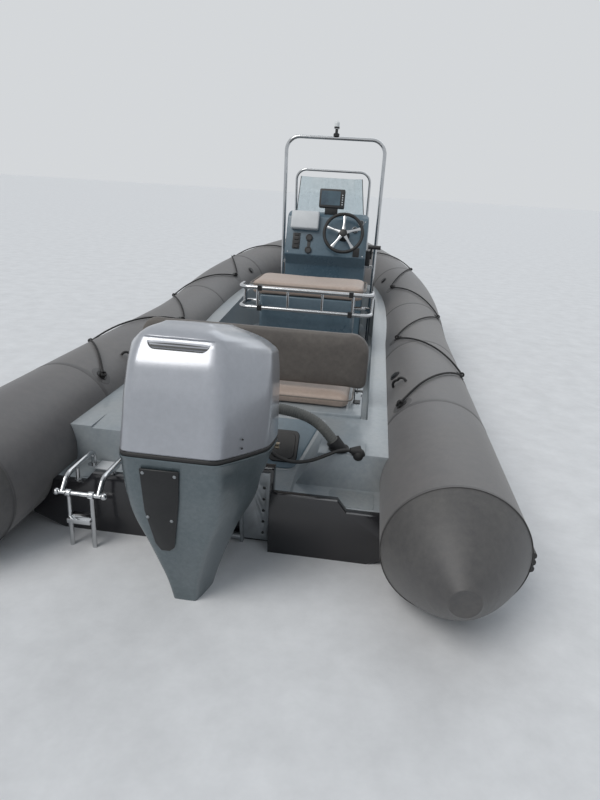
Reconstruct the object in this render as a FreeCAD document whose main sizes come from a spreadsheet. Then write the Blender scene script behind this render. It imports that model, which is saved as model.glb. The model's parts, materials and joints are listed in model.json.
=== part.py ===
import FreeCAD, Part
import math
import os
import re

import Sketcher

# Rigid inflatable boat, 6.6 m, with a single outboard engine.
# Frame: millimetres, +X to starboard, +Y to the bow, +Z up.
# The origin is on the waterline, on the centreline, at the aft edge of the stern platforms.

os.makedirs("parts", exist_ok=True)
doc = FreeCAD.newDocument("RigidInflatable")
V = FreeCAD.Vector
X_AXIS = V(1, 0, 0)
Y_AXIS = V(0, 1, 0)
Z_AXIS = V(0, 0, 1)
ORIGIN = V(0, 0, 0)

# Columns: name, value in millimetres or degrees, what it is.
SIZES = (
    ("bond_gap", 0.3, "glue line between a tube and what it is bonded to"),
    ("tube_radius", 270, "radius of the buoyancy tubes"),
    ("tube_offset", 980, "tube axis from the centreline"),
    ("tube_height", 294, "tube axis above the waterline at the stern"),
    ("cone_seam_back", 285, "where the cone ends start, aft of the origin"),
    ("cone_length", 285, "length of the cone ends"),
    ("cone_tip_radius", 58, "flat nose of the cone ends"),
    ("cone_bulge", 22, "how far the cone's side stands out from a straight cone"),
    ("sheer_start", 2300, "where the tubes start to rise"),
    ("sheer_length", 1000, "length of the bend in which they rise"),
    ("sheer_angle", 7.5, "slope of the tubes at the bow"),
    ("shoulder_radius", 4531, "plan radius of the long bow curve"),
    ("shoulder_angle", 30, "how far the long curve turns"),
    ("strake_height", 84, "height of the rub strake"),
    ("strake_depth", 14, "how far the rub strake stands out"),
    ("strake_ribs", 3, "ribs along the rub strake"),
    ("hull_depth", 290, "keel below the waterline at the transom"),
    ("chine_half", 820, "half-width at the chine aft"),
    ("deck_under", 90, "height of the joint between hull and liner aft"),
    ("floor_thick", 30, "thickness of the cockpit floor"),
    ("coaming_top", 410, "top of the coamings aft"),
    ("cockpit_half", 633, "half-width of the cockpit"),
    ("cockpit_bow_half", 520, "half-width of the cockpit at its forward end"),
    ("cockpit_aft", 650, "aft wall of the cockpit"),
    ("cockpit_fore", 4280, "forward wall of the cockpit"),
    ("cockpit_narrows", 3650, "where the cockpit starts to narrow"),
    ("platform_top", 235, "top of the stern platforms"),
    ("bulkhead_aft", 216, "face between the platforms and the bench moulding"),
    ("bench_moulding_low", 400, "aft edge of the bench moulding"),
    ("bench_moulding_high", 424, "bench moulding at the bench box"),
    ("well_floor", 200, "floor of the splash well"),
    ("well_floor_half", 310, "half-width of the splash well at its floor"),
    ("well_top_half", 462, "half-width of the splash well at the top"),
    ("well_front_low", 400, "front of the splash well at its floor"),
    ("well_front_high", 640, "front of the splash well at the top"),
    ("transom_skin", 40, "thickness of the transom edge"),
    ("transom_edge_top", 286, "top of the black transom edge"),
    ("transom_step_in", 534, "where the transom edge starts to drop"),
    ("transom_step_out", 575, "where it has dropped to the platform"),
    ("mount_half", 250, "half-width of the engine recess"),
    ("mount_face", 80, "engine mounting face, forward of the origin"),
    ("mount_thick", 64, "thickness of the transom at the engine"),
    ("mount_top", 355, "top of the transom at the engine"),
    ("locker_top", 430, "top of the bow locker deck at its aft edge"),
    ("locker_rise", 6, "slope of the bow locker deck in degrees"),
    ("locker_wall", 90, "moulding round the bow locker"),
    ("locker_half", 250, "half-width of the bow locker"),
    ("locker_length", 430, "length of the bow locker"),
    ("locker_depth", 150, "depth of the bow locker below its lid"),
    ("lid_thick", 22, "thickness of the locker lid"),
    ("lid_gap", 6, "running gap round the locker lid"),
    ("bench_box_half", 600, "half-width of the stern bench box"),
    ("bench_box_length", 480, "length of the stern bench box"),
    ("bench_box_top", 428, "top of the stern bench box"),
    ("bench_pad_half", 545, "half-width of the stern bench cushion"),
    ("bench_pad_thick", 70, "thickness of the stern bench cushion"),
    ("bench_pad_aft", 700, "aft edge of the stern bench cushion"),
    ("bench_pad_length", 460, "length of the stern bench cushion"),
    ("pad_corner", 45, "corner radius of the cushions"),
    ("pad_edge", 18, "edge radius of the cushions"),
    ("backrest_width", 1250, "width of the stern backrest"),
    ("backrest_low", 511, "lower edge of the stern backrest"),
    ("backrest_high", 831, "upper edge of the stern backrest"),
    ("backrest_aft", 770, "aft face of the stern backrest"),
    ("backrest_thick", 60, "thickness of the stern backrest"),
    ("backrest_corner", 110, "corner radius of the stern backrest"),
    ("hinge_height", 492, "backrest hinge axis above the waterline"),
    ("hinge_ahead", 16, "backrest hinge axis, forward of the backrest"),
    ("hinge_side", 551, "backrest hinge plates from the centreline"),
    ("hinge_plate", 6, "thickness of the hinge plates"),
    ("hinge_space", 6, "space between the hinge plates"),
    ("hinge_pin", 6, "radius of the backrest hinge pin"),
    ("hinge_slack", 0.1, "running clearance of the hinge pins"),
    ("helm_centre", 150, "centreline of the helm seat and console"),
    ("helm_box_half", 330, "half-width of the helm seat box"),
    ("helm_box_aft", 1860, "aft face of the helm seat box"),
    ("helm_box_length", 420, "length of the helm seat box"),
    ("helm_box_top", 790, "top of the helm seat box"),
    ("helm_pad_half", 400, "half-width of the helm seat cushion"),
    ("helm_pad_thick", 95, "thickness of the helm seat cushion"),
    ("helm_pad_length", 470, "length of the helm seat cushion"),
    ("helm_rail_half", 450, "half-width of the helm seat rail"),
    ("helm_rail_aft", 1770, "aft run of the helm seat rail"),
    ("helm_rail_fore", 2020, "where the helm seat rail turns in"),
    ("helm_rail_low", 715, "lower run of the helm seat rail"),
    ("helm_rail_high", 850, "upper run of the helm seat rail"),
    ("rail_radius", 14, "radius of the stainless rails"),
    ("console_half", 357, "half-width of the console"),
    ("console_aft", 3180, "aft face of the console"),
    ("console_knee", 860, "where the dash starts to stand out"),
    ("dash_low", 950, "lower edge of the dash"),
    ("dash_aft", 3100, "aft edge of the dash"),
    ("dash_top", 1270, "upper edge of the dash"),
    ("dash_top_aft", 3222, "upper edge of the dash, forward of the origin"),
    ("console_crown", 1310, "top of the console"),
    ("console_nose", 3960, "front of the console at the floor"),
    ("hoop_half", 438, "half-width of the outer hoop"),
    ("hoop_foot", 3560, "where the outer hoop stands"),
    ("hoop_top", 1930, "top of the outer hoop"),
    ("hoop_rake", 90, "how far the outer hoop leans aft"),
    ("hoop_bend", 120, "bend radius of the hoops"),
    ("hoop_radius", 16, "radius of the hoop tube"),
    ("inner_hoop_half", 330, "half-width of the windscreen hoop"),
    ("inner_hoop_top", 1660, "top of the windscreen hoop"),
    ("screen_thick", 6, "thickness of the windscreen"),
    ("plotter_across", 18, "plotter, to starboard of the console's centreline"),
    ("plotter_back", 3300, "back of the plotter at its lower edge"),
    ("plotter_low", 1342, "lower edge of the plotter"),
    ("plotter_wide", 222, "width of the plotter"),
    ("plotter_high", 160, "height of the plotter"),
    ("plotter_deep", 50, "depth of the plotter"),
    ("plotter_lean", 12, "lean of the plotter in degrees"),
    ("cover_across", -196, "instrument cover, from the console's centreline"),
    ("cover_up", 1226, "middle of the instrument cover"),
    ("cover_wide", 244, "width of the instrument cover"),
    ("cover_high", 158, "height of the instrument cover"),
    ("cover_deep", 58, "depth of the instrument cover"),
    ("switches_across", -262, "switch panel, from the console's centreline"),
    ("switches_up", 1060, "middle of the switch panel"),
    ("switches_wide", 64, "width of the switch panel"),
    ("switches_high", 140, "height of the switch panel"),
    ("switches_deep", 8, "depth of the switch panel"),
    ("powerhead_wide", 330, "width of the engine block"),
    ("powerhead_long", 380, "length of the engine block"),
    ("powerhead_high", 350, "height of the engine block"),
    ("powerhead_aft", 385, "aft end of the engine block"),
    ("wheel_offset", 300, "steering wheel from the centreline"),
    ("wheel_height", 1128, "height of the steering wheel's centre"),
    ("wheel_radius", 165, "steering wheel rim, to its middle"),
    ("wheel_rim", 14, "radius of the steering wheel rim"),
    ("wheel_spokes", 5, "spokes of the steering wheel"),
    ("wheel_stand", 78, "steering wheel from the dash"),
    ("ladder_offset", 530, "boarding ladder from the centreline, to port"),
    ("ladder_rail_half", 80, "half-distance of the fixed ladder rails"),
    ("ladder_half", 50, "half-distance of the ladder's stiles"),
    ("ladder_pivot_back", 120, "ladder hinge bar, aft of the origin"),
    ("ladder_pivot_height", 250, "height of the ladder hinge bar"),
    ("ladder_length", 620, "length of the ladder below its hinge bar"),
    ("ladder_tube", 10, "radius of the ladder's stiles"),
    ("ladder_rail_tube", 12.5, "radius of the fixed ladder rails"),
    ("ladder_steps", 3, "steps on the ladder"),
    ("ladder_step_pitch", 185, "spacing of the ladder's steps"),
    ("tilt_forward", 40, "tilt axis, forward of the origin"),
    ("tilt_height", 420, "height of the tilt axis"),
    ("steer_back", 60, "steering axis, aft of the origin"),
    ("shaft_depth", 475, "propeller shaft below the waterline"),
    ("prop_radius", 178, "radius of the propeller"),
    ("prop_hub", 50, "radius of the propeller hub"),
    ("prop_blades", 3, "blades of the propeller"),
    ("prop_pitch", 430, "pitch of the propeller"),
    ("cowl_wall", 6, "thickness of the cowl"),
    ("seal_height", 16, "height of the seal between the cowls"),
    ("split_rear", 668, "height of the cowl split at the rear"),
    ("cover_lean", 12.5, "how the engine cover leans towards the bow, in degrees"),
    ("tray_under", 512, "underside of the lower cowl tray"),
    ("plate_depth", 280, "anti-ventilation plate below the waterline"),
    ("skeg_depth", 680, "tip of the skeg below the waterline"),
    ("line_radius", 6, "radius of the grab lines"),
    ("hose_radius", 25, "radius of the rigging hose"),
    ("cable_radius", 9, "radius of the cable bundle"),
)

sheet = doc.addObject("Spreadsheet::Sheet", "Sizes")
for row, (alias, value, note) in enumerate(SIZES, start=1):
    sheet.set(f"A{row}", note)
    sheet.set(f"B{row}", str(value))
    sheet.setAlias(f"B{row}", alias)
doc.recompute()
ALIASES = {alias for alias, value, note in SIZES}
WORD = re.compile(r"[a-z][a-z_]+")
nodes = []


def size(alias):
    """Read one driving dimension from the sheet."""
    return float(getattr(sheet, alias))


def cell(found):
    """Name the sheet in front of a driving dimension that an expression uses."""
    word = found.group(0)
    return "Sizes." + word if word in ALIASES else word


def bind(obj, **texts):
    """Tie properties of an object to expressions of driving dimensions."""
    for name, text in texts.items():
        obj.setExpression(name, WORD.sub(cell, str(text)))
    return obj


def put(obj, x=0, y=0, z=0):
    """Tie an object's position to three expressions."""
    for axis, text in (("x", x), ("y", y), ("z", z)):
        obj.setExpression(f".Placement.Base.{axis}", WORD.sub(cell, str(text)))
    return obj


def keep(obj, label):
    """List an object as a finished piece of the boat."""
    obj.Label = label
    nodes.append(obj)
    return obj


def solid(label, shape):
    """Hold a shape made from lines, arcs, lofts and turned profiles as one piece."""
    feature = doc.addObject("Part::Feature", label)
    feature.Shape = shape
    feature.Placement = shape.Placement
    return keep(feature, label)


def box(name, length, width, height, x=0, y=0, z=0):
    """Make a block with its sizes and corner tied to the sheet."""
    made = bind(doc.addObject("Part::Box", name), Length=length, Width=width, Height=height)
    return put(made, x, y, z)


def fuse(name, *parts):
    """Join objects that touch into one."""
    made = doc.addObject("Part::MultiFuse", name)
    made.Shapes = list(parts)
    return made


def cut(name, base, *tools):
    """Take tools away from a base."""
    tool = tools[0] if len(tools) == 1 else fuse(name + "_tools", *tools)
    made = doc.addObject("Part::Cut", name)
    made.Base = base
    made.Tool = tool
    return made


def plane_of(body, role):
    """Find one of a body's own origin planes."""
    return next(item for item in body.Origin.OriginFeatures if item.Role == role)


def outline_body(label, plane, points, thick, middle=False):
    """Pad a closed outline whose corners are expressions, on one of the body's origin planes."""
    body = doc.addObject("PartDesign::Body", label)
    sketch = body.newObject("Sketcher::SketchObject", label + "_outline")
    sketch.AttachmentSupport = (plane_of(body, plane), [""])
    sketch.MapMode = "FlatFace"
    values = [(evaluate(a), evaluate(b)) for a, b in points]
    for first, second in zip(values, values[1:] + values[:1]):
        sketch.addGeometry(Part.LineSegment(V(*first, 0), V(*second, 0)), False)
    count = len(points)
    for index in range(count):
        sketch.addConstraint(Sketcher.Constraint("Coincident", index, 2, (index + 1) % count, 1))
    for index, (a, b) in enumerate(points):
        for kind, text, value in (("DistanceX", a, values[index][0]), ("DistanceY", b, values[index][1])):
            number = sketch.addConstraint(Sketcher.Constraint(kind, -1, 1, index, 1, value))
            sketch.setExpression(f"Constraints[{number}]", WORD.sub(cell, str(text)))
    pad = body.newObject("PartDesign::Pad", label + "_pad")
    pad.Profile = sketch
    bind(pad, Length=thick)
    pad.Midplane = middle
    doc.recompute()
    return body


def evaluate(text):
    """Work out an expression of driving dimensions for a sketch's first shape."""
    if not isinstance(text, str):
        return float(text)
    return float(sheet.evalExpression(WORD.sub(cell, text)))


def round_edges(body, radius, test):
    """Round the edges of a body that a test picks."""
    before = body.Tip
    names = [f"Edge{number}" for number, edge in enumerate(before.Shape.Edges, start=1) if test(edge)]
    fillet = body.newObject("PartDesign::Fillet", body.Name + "_round" + str(len(body.Group)))
    fillet.Base = (before, names)
    bind(fillet, Radius=radius)
    doc.recompute()
    return body


def along(axis):
    """Test for a straight edge along an axis."""
    def test(edge):
        straight = isinstance(edge.Curve, Part.Line)
        return straight and abs(edge.tangentAt(edge.FirstParameter).dot(axis)) > 0.999
    return test


def not_along(axis):
    """Test for the edges round the two faces that an axis points through."""
    def test(edge):
        ends = edge.BoundBox
        span = {0: ends.XLength, 1: ends.YLength, 2: ends.ZLength}
        index = [abs(axis.x), abs(axis.y), abs(axis.z)].index(1.0)
        return span[index] < 0.01
    return test


def mirrored(shape):
    """The other side of a shape, across the centreline."""
    return shape.mirror(ORIGIN, X_AXIS)


def polygon(points):
    """A closed wire through points."""
    return Part.makePolygon(list(points) + [points[0]])


def face(points):
    """A flat face through points."""
    return Part.Face(polygon(points))


def bent_path(points, radii):
    """Straight runs joined by tangent arcs, one radius for each inner point."""
    edges = []
    start = points[0]
    for before, corner, after, radius in zip(points, points[1:], points[2:], radii):
        into = (corner - before).normalize()
        out = (after - corner).normalize()
        turn = into.getAngle(out)
        reach = radius * math.tan(turn / 2)
        first = corner - into * reach
        last = corner + out * reach
        inward = (out - into).normalize()
        middle = corner + inward * (radius / math.cos(turn / 2) - radius)
        if (first - start).Length > 0.001:
            edges.append(Part.LineSegment(start, first).toShape())
        edges.append(Part.Arc(first, middle, last).toShape())
        start = last
    edges.append(Part.LineSegment(start, points[-1]).toShape())
    return Part.Wire(edges)


def pipe(points, radii, radius):
    """A round bar along a bent path: a cylinder for each run and a ring piece for each bend."""
    pieces = []
    for edge in bent_path(points, radii).Edges:
        start = edge.valueAt(edge.FirstParameter)
        way = edge.tangentAt(edge.FirstParameter)
        section = Part.Face(Part.Wire(Part.makeCircle(radius, start, way)))
        if isinstance(edge.Curve, Part.Line):
            pieces.append(section.extrude(way * edge.Length))
        else:
            axis = way.cross(edge.Curve.Center - start).normalize()
            angle = math.degrees(edge.Length / edge.Curve.Radius)
            pieces.append(section.revolve(edge.Curve.Center, axis, angle))
    return pieces[0].fuse(pieces[1:]).removeSplitter()


def cord_radii(points):
    """Arc radii of a cord: 0.45 of the shorter run over the tangent of half the turn."""
    radii = []
    for before, corner, after in zip(points, points[1:], points[2:]):
        turn = (corner - before).getAngle(after - corner)
        shorter = min((corner - before).Length, (after - corner).Length)
        radii.append(0.45 * shorter / math.tan(turn / 2))
    return radii


# Buoyancy tubes: a level run, a bend up the sheer, a long plan curve and a tight bow curve.

SHEER = math.radians(size("sheer_angle"))
SHOULDER = math.radians(size("shoulder_angle"))
SHEER_RADIUS = size("sheer_length") / math.sin(SHEER)
BOW_RADIUS = (
    size("tube_offset") - size("shoulder_radius") * (1 - math.cos(SHOULDER))
) / math.cos(SHOULDER)
SHEER_END = V(
    size("tube_offset"),
    size("sheer_start") + size("sheer_length"),
    size("tube_height") + SHEER_RADIUS * (1 - math.cos(SHEER)),
)
SLOPE_UP = V(0, -math.sin(SHEER), math.cos(SHEER))
SLOPE_ALONG = V(0, math.cos(SHEER), math.sin(SHEER))


def turned(shape, centre, axis, angle):
    """A copy of a shape turned about an axis."""
    made = shape.copy()
    made.rotate(centre, axis, angle)
    return made


def tube_runs(profile, from_back=0.0):
    """Carry a profile along the starboard tube: level run, sheer bend, long curve, half the bow curve."""
    start = V(0, -from_back, 0)
    base = profile.copy()
    base.translate(start)
    level = base.extrude(V(0, size("sheer_start") + from_back, 0))
    at_sheer = profile.copy()
    at_sheer.translate(V(0, size("sheer_start"), 0))
    sheer_centre = V(0, size("sheer_start"), size("tube_height") + SHEER_RADIUS)
    rise = at_sheer.revolve(sheer_centre, X_AXIS, math.degrees(SHEER))
    at_shoulder = turned(at_sheer, sheer_centre, X_AXIS, math.degrees(SHEER))
    shoulder_centre = SHEER_END - V(size("shoulder_radius"), 0, 0)
    shoulder = at_shoulder.revolve(shoulder_centre, SLOPE_UP, math.degrees(SHOULDER))
    at_bow = turned(at_shoulder, shoulder_centre, SLOPE_UP, math.degrees(SHOULDER))
    bow_start = shoulder_centre + (
        V(1, 0, 0) * math.cos(SHOULDER) + SLOPE_ALONG * math.sin(SHOULDER)
    ) * size("shoulder_radius")
    bow_centre = bow_start - (
        V(1, 0, 0) * math.cos(SHOULDER) + SLOPE_ALONG * math.sin(SHOULDER)
    ) * BOW_RADIUS
    nose = at_bow.revolve(bow_centre, SLOPE_UP, 90 - math.degrees(SHOULDER))
    return level, rise, shoulder, nose


def ring_face(radius):
    """The round section of a tube, at the origin's station."""
    return Part.Face(Part.Wire(Part.makeCircle(radius, V(size("tube_offset"), 0, size("tube_height")), Y_AXIS)))


def cone_end(radius, tip):
    """The convex cone at a tube's aft end, turned about the tube's axis."""
    seam = -size("cone_seam_back")
    nose = seam - size("cone_length")
    centre = V(size("tube_offset"), 0, size("tube_height"))
    low = centre + V(radius, seam, 0)
    high = centre + V(tip, nose, 0)
    bulge = (low + high) * 0.5 + V(size("cone_bulge"), -size("cone_bulge"), 0)
    outline = Part.Wire([
        Part.LineSegment(centre + V(0, seam, 0), low).toShape(),
        Part.Arc(low, bulge, high).toShape(),
        Part.LineSegment(high, centre + V(0, nose, 0)).toShape(),
        Part.LineSegment(centre + V(0, nose, 0), centre + V(0, seam, 0)).toShape(),
    ])
    return Part.Face(outline).revolve(centre, Y_AXIS, 360)


def side_chamber(radius, tip):
    """The starboard chamber, from its cone to the seam of the bow chamber."""
    level, rise, shoulder, nose = tube_runs(ring_face(radius), size("cone_seam_back"))
    return level.fuse([rise, shoulder, cone_end(radius, tip)])


def bow_chamber(radius):
    """Both halves of the tight bow curve."""
    nose = tube_runs(ring_face(radius))[3]
    return nose.fuse(mirrored(nose))


def all_tubes(radius):
    """Every chamber grown to a radius, for the bond with the hull and the liner."""
    side = side_chamber(radius, size("cone_tip_radius"))
    return [side, mirrored(side), bow_chamber(radius)]


tube_starboard = solid("tube_starboard", side_chamber(size("tube_radius"), size("cone_tip_radius")))
tube_port = solid("tube_port", mirrored(tube_starboard.Shape))
tube_bow = solid("tube_bow", bow_chamber(size("tube_radius")))
BOND_TUBES = all_tubes(size("tube_radius") + size("bond_gap"))


def strake_section():
    """Ribbed rubber strip on the tube's outer side, at the origin's station."""
    inner = size("tube_radius") + size("bond_gap")
    base = inner + size("strake_depth") / 2
    crest = inner + size("strake_depth")
    half = size("strake_height") / 2
    ribs = int(size("strake_ribs"))
    centre = V(size("tube_offset"), 0, size("tube_height"))
    spread = math.asin(half / base)
    points = []
    for index in range(ribs):
        low = -spread + 2 * spread * index / ribs
        span = 2 * spread / ribs
        for share, reach in ((0.12, base), (0.28, crest), (0.72, crest), (0.88, base)):
            angle = low + span * share
            points.append(centre + V(reach * math.cos(angle), 0, reach * math.sin(angle)))
    foot = centre + V(inner * math.cos(spread), 0, -inner * math.sin(spread))
    head = centre + V(inner * math.cos(spread), 0, inner * math.sin(spread))
    inside = Part.Arc(head, centre + V(inner, 0, 0), foot).toShape()
    sides = Part.makePolygon([foot] + points + [head])
    return Part.Face(Part.Wire(sides.Edges + [inside]))


strake_runs = tube_runs(strake_section(), size("cone_seam_back"))
starboard_strake = strake_runs[0].fuse(list(strake_runs[1:]))
solid("rub_strake", starboard_strake.fuse(mirrored(starboard_strake)))


# Hull sections. Columns: station, keel height, chine half-width, chine height, rim half-width, rim height.
HULL_SECTIONS = (
    (0, -size("hull_depth"), size("chine_half"), 60, size("chine_half") + 10, size("deck_under")),
    (2300, -size("hull_depth") - 8, size("chine_half"), 60, size("chine_half") + 10, size("deck_under")),
    (3300, -278, 812, 125, 830, 160),
    (4300, -200, 712, 140, 730, 240),
    (5000, -30, 470, 290, 505, 330),
    (5440, 230, 215, 436, 265, 480),
    (5690, 408, 24, 462, 34, 500),
)
LINER_RISE = size("coaming_top") - size("deck_under")


def hull_wire(station, keel, chine_half, chine, rim_half, rim):
    """One section of the hull."""
    return polygon([
        V(0, station, keel),
        V(chine_half, station, chine),
        V(rim_half, station, rim),
        V(-rim_half, station, rim),
        V(-chine_half, station, chine),
    ])


def liner_wire(station, keel, chine_half, chine, rim_half, rim):
    """One section of the uncut liner, standing on the hull's rim."""
    return polygon([
        V(rim_half, station, rim),
        V(rim_half, station, rim + LINER_RISE),
        V(-rim_half, station, rim + LINER_RISE),
        V(-rim_half, station, rim),
    ])


def cockpit(wall, floor, high):
    """The cockpit's space grown by a wall, from a floor height up, narrowing towards the bow."""
    aft = size("cockpit_aft") - wall
    fore = size("cockpit_fore") + wall
    half = size("cockpit_half") + wall
    bow_half = size("cockpit_bow_half") + wall
    bend = size("cockpit_narrows")
    low = face([
        V(-half, aft, floor), V(half, aft, floor), V(half, bend, floor), V(bow_half, fore, floor),
        V(-bow_half, fore, floor), V(-half, bend, floor)])
    return low.extrude(V(0, 0, high))


def transom_band():
    """The black edge across the stern, with its step down to the platforms."""
    top = size("transom_edge_top")
    low = size("platform_top")
    edge = size("chine_half") + 10
    points = [
        (-edge, size("deck_under")), (edge, size("deck_under")), (edge, low),
        (size("transom_step_out"), low), (size("transom_step_in"), top),
        (-size("transom_step_in"), top), (-size("transom_step_out"), low), (-edge, low),
    ]
    band = face([V(x, 0, z) for x, z in points]).extrude(V(0, size("transom_skin"), 0))
    recess = Part.makeBox(
        2 * size("mount_half"), size("mount_face"), 1000, V(-size("mount_half"), 0, -600))
    mount = Part.makeBox(
        2 * size("mount_half"), size("mount_thick"), size("mount_top") - size("deck_under"),
        V(-size("mount_half"), size("mount_face"), size("deck_under")))
    return band, recess, mount


band, recess, engine_board = transom_band()
hull_shape = Part.makeLoft([hull_wire(*row) for row in HULL_SECTIONS], True, True)
hull_shape = hull_shape.fuse([band, engine_board]).cut(recess)
tub = cockpit(size("floor_thick"), size("deck_under"), size("coaming_top") - size("deck_under") - 20)

def tapered_block(low, high):
    """A block between two level rectangles, each given as half-width, aft, fore, height."""
    wires = []
    for half, aft, fore, height in (low, high):
        wires.append(polygon([
            V(-half, aft, height), V(half, aft, height), V(half, fore, height), V(-half, fore, height)]))
    return Part.makeLoft(wires, True, True)


def locker_deck():
    """Everything above the sloping deck of the bow locker."""
    aft = size("cockpit_fore")
    length = 1700
    climb = length * math.tan(math.radians(size("locker_rise")))
    side = face([
        V(-900, aft, size("locker_top")), V(-900, aft + length, size("locker_top") + climb),
        V(-900, aft + length, 1500), V(-900, aft, 1500)])
    return side.extrude(V(1800, 0, 0))


def locker_hole(gap, depth):
    """The locker's mouth, square to its sloping deck."""
    aft = size("cockpit_fore") + size("locker_wall")
    half = size("locker_half") + gap
    made = Part.makeBox(
        2 * half, size("locker_length") + 2 * gap, depth + 200, V(-half, -gap, -depth))
    made.rotate(ORIGIN, X_AXIS, size("locker_rise"))
    climb = size("locker_wall") * math.tan(math.radians(size("locker_rise")))
    made.translate(V(0, aft, size("locker_top") + climb))
    return made


LOCKER_SKIN = 12
locker_tub = locker_hole(0, size("locker_depth") + LOCKER_SKIN)
hull_shape = hull_shape.cut(BOND_TUBES + [tub, locker_tub]).removeSplitter()
hull = solid("hull", hull_shape)
liner_shape = Part.makeLoft([liner_wire(*row) for row in HULL_SECTIONS], True, True)
liner_shape = liner_shape.fuse([tub, locker_tub])
well = tapered_block(
    (size("well_floor_half"), -10, size("well_front_low"), size("well_floor")),
    (size("well_top_half"), -10, size("well_front_high"), size("coaming_top") + 60))
platforms = Part.makeBox(
    2000, size("bulkhead_aft") + 10, 600, V(-1000, -10, size("platform_top")))
bench_slope = face([
    V(-size("cockpit_half"), size("bulkhead_aft") - 10, size("bench_moulding_low")),
    V(-size("cockpit_half"), size("cockpit_aft"), size("bench_moulding_high")),
    V(-size("cockpit_half"), size("cockpit_aft"), 900),
    V(-size("cockpit_half"), size("bulkhead_aft") - 10, 900),
]).extrude(V(2 * size("cockpit_half"), 0, 0))
inner_locker = locker_hole(-LOCKER_SKIN, size("locker_depth"))
lid_seat = locker_hole(size("lid_gap"), size("lid_thick") + 2)
liner_shape = liner_shape.cut([
    well, platforms, bench_slope, cockpit(0, size("deck_under") + size("floor_thick"), 1000),
    locker_deck(), inner_locker, lid_seat, band, engine_board, recess, hull_shape])
liner_shape = liner_shape.cut(BOND_TUBES)
liner_shape = max(liner_shape.Solids, key=lambda piece: piece.Volume).removeSplitter()
bow_part = Part.makeBox(2400, 1800, 1600, V(-1200, size("cockpit_fore") + size("floor_thick"), -400))
deck_liner = solid("deck_liner", liner_shape.cut(bow_part))
bow_deck = solid("bow_deck", liner_shape.common(bow_part))


# Bow locker lid, hinged along its forward edge, with a lift tab aft.

LOCKER_CLIMB = math.tan(math.radians(size("locker_rise")))


def on_locker(shape):
    """Set a shape built at the locker's aft edge onto the sloping deck."""
    shape.rotate(ORIGIN, X_AXIS, size("locker_rise"))
    shape.translate(V(
        0, size("cockpit_fore") + size("locker_wall"),
        size("locker_top") + size("locker_wall") * LOCKER_CLIMB))
    return shape


LID_HINGES = (-160, 160)
LID_HINGE_HALF = 30
LID_KNUCKLE_HALF = 10
LID_BARREL = 6
LID_PIN = 3
LEAF = 4


def locker_lid():
    """The lid, its two hinge knuckles with their leaves and its lift tab."""
    half = size("locker_half")
    length = size("locker_length")
    axis_y = length + 2 * LID_BARREL
    lid = Part.makeBox(2 * half, length, size("lid_thick"), V(-half, 0, -size("lid_thick")))
    lid = lid.makeFillet(30, [edge for edge in lid.Edges if along(Z_AXIS)(edge)])
    shapes = [Part.makeBox(90, 20, 6, V(-45, 6, 0))]
    bores = []
    for x in LID_HINGES:
        left = x - LID_KNUCKLE_HALF
        wide = 2 * LID_KNUCKLE_HALF
        shapes.append(Part.makeBox(wide, 60, LEAF, V(left, axis_y - 60, 0)))
        shapes.append(Part.makeCylinder(LID_BARREL, wide, V(left, axis_y, LID_BARREL), X_AXIS))
        bores.append(Part.makeCylinder(LID_PIN + 0.2, wide, V(left, axis_y, LID_BARREL), X_AXIS))
    return on_locker(lid.fuse(shapes).cut(bores).removeSplitter())


def locker_hinges():
    """Two leaf hinges forward of the lid, each with a pin through the lid's knuckle."""
    shapes = []
    axis_y = size("locker_length") + 2 * LID_BARREL
    wide = 2 * LID_HINGE_HALF
    for x in LID_HINGES:
        left = x - LID_HINGE_HALF
        gap = LID_KNUCKLE_HALF + 1
        leaf = Part.makeBox(wide, 44, LEAF, V(left, axis_y, 0))
        barrel = Part.makeCylinder(LID_BARREL, wide, V(left, axis_y, LID_BARREL), X_AXIS)
        notch = Part.makeBox(2 * gap, 4 * LID_BARREL, 4 * LID_BARREL, V(x - gap, axis_y - 2 * LID_BARREL, -1))
        pin = Part.makeCylinder(LID_PIN, wide, V(left, axis_y, LID_BARREL), X_AXIS)
        shapes.append(leaf.fuse(barrel).cut(notch).fuse(pin).removeSplitter())
    return on_locker(Part.makeCompound(shapes))


solid("bow_locker_lid", locker_lid())
solid("bow_locker_hinges", locker_hinges())


# Stern bench: moulded box, cushion, folding backrest on two side hinges.

FLOOR_TOP = "(deck_under + floor_thick)"
bench_box = outline_body(
    "stern_bench_box", "YZ_Plane",
    [("cockpit_aft + 0", FLOOR_TOP), ("cockpit_aft + bench_box_length - 40", FLOOR_TOP),
     ("cockpit_aft + bench_box_length", "bench_box_top - 60"),
     ("cockpit_aft + bench_box_length", "bench_box_top"), ("cockpit_aft + 0", "bench_box_top")],
    "2 * bench_box_half", True)
round_edges(bench_box, 20, lambda edge: (
    along(X_AXIS)(edge) and edge.CenterOfMass.y > size("cockpit_aft") + 100
    and edge.CenterOfMass.z > size("bench_box_top") - 5))
keep(bench_box, "stern_bench_box")

bench_pad = outline_body(
    "stern_bench_cushion", "XY_Plane",
    [("-bench_pad_half", "bench_pad_aft"), ("bench_pad_half", "bench_pad_aft"),
     ("bench_pad_half", "bench_pad_aft + bench_pad_length"),
     ("-bench_pad_half", "bench_pad_aft + bench_pad_length")],
    "bench_pad_thick")
put(bench_pad, 0, 0, "bench_box_top")
round_edges(bench_pad, "pad_corner", along(Z_AXIS))
round_edges(bench_pad, "pad_edge", not_along(Z_AXIS))
keep(bench_pad, "stern_bench_cushion")

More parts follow.
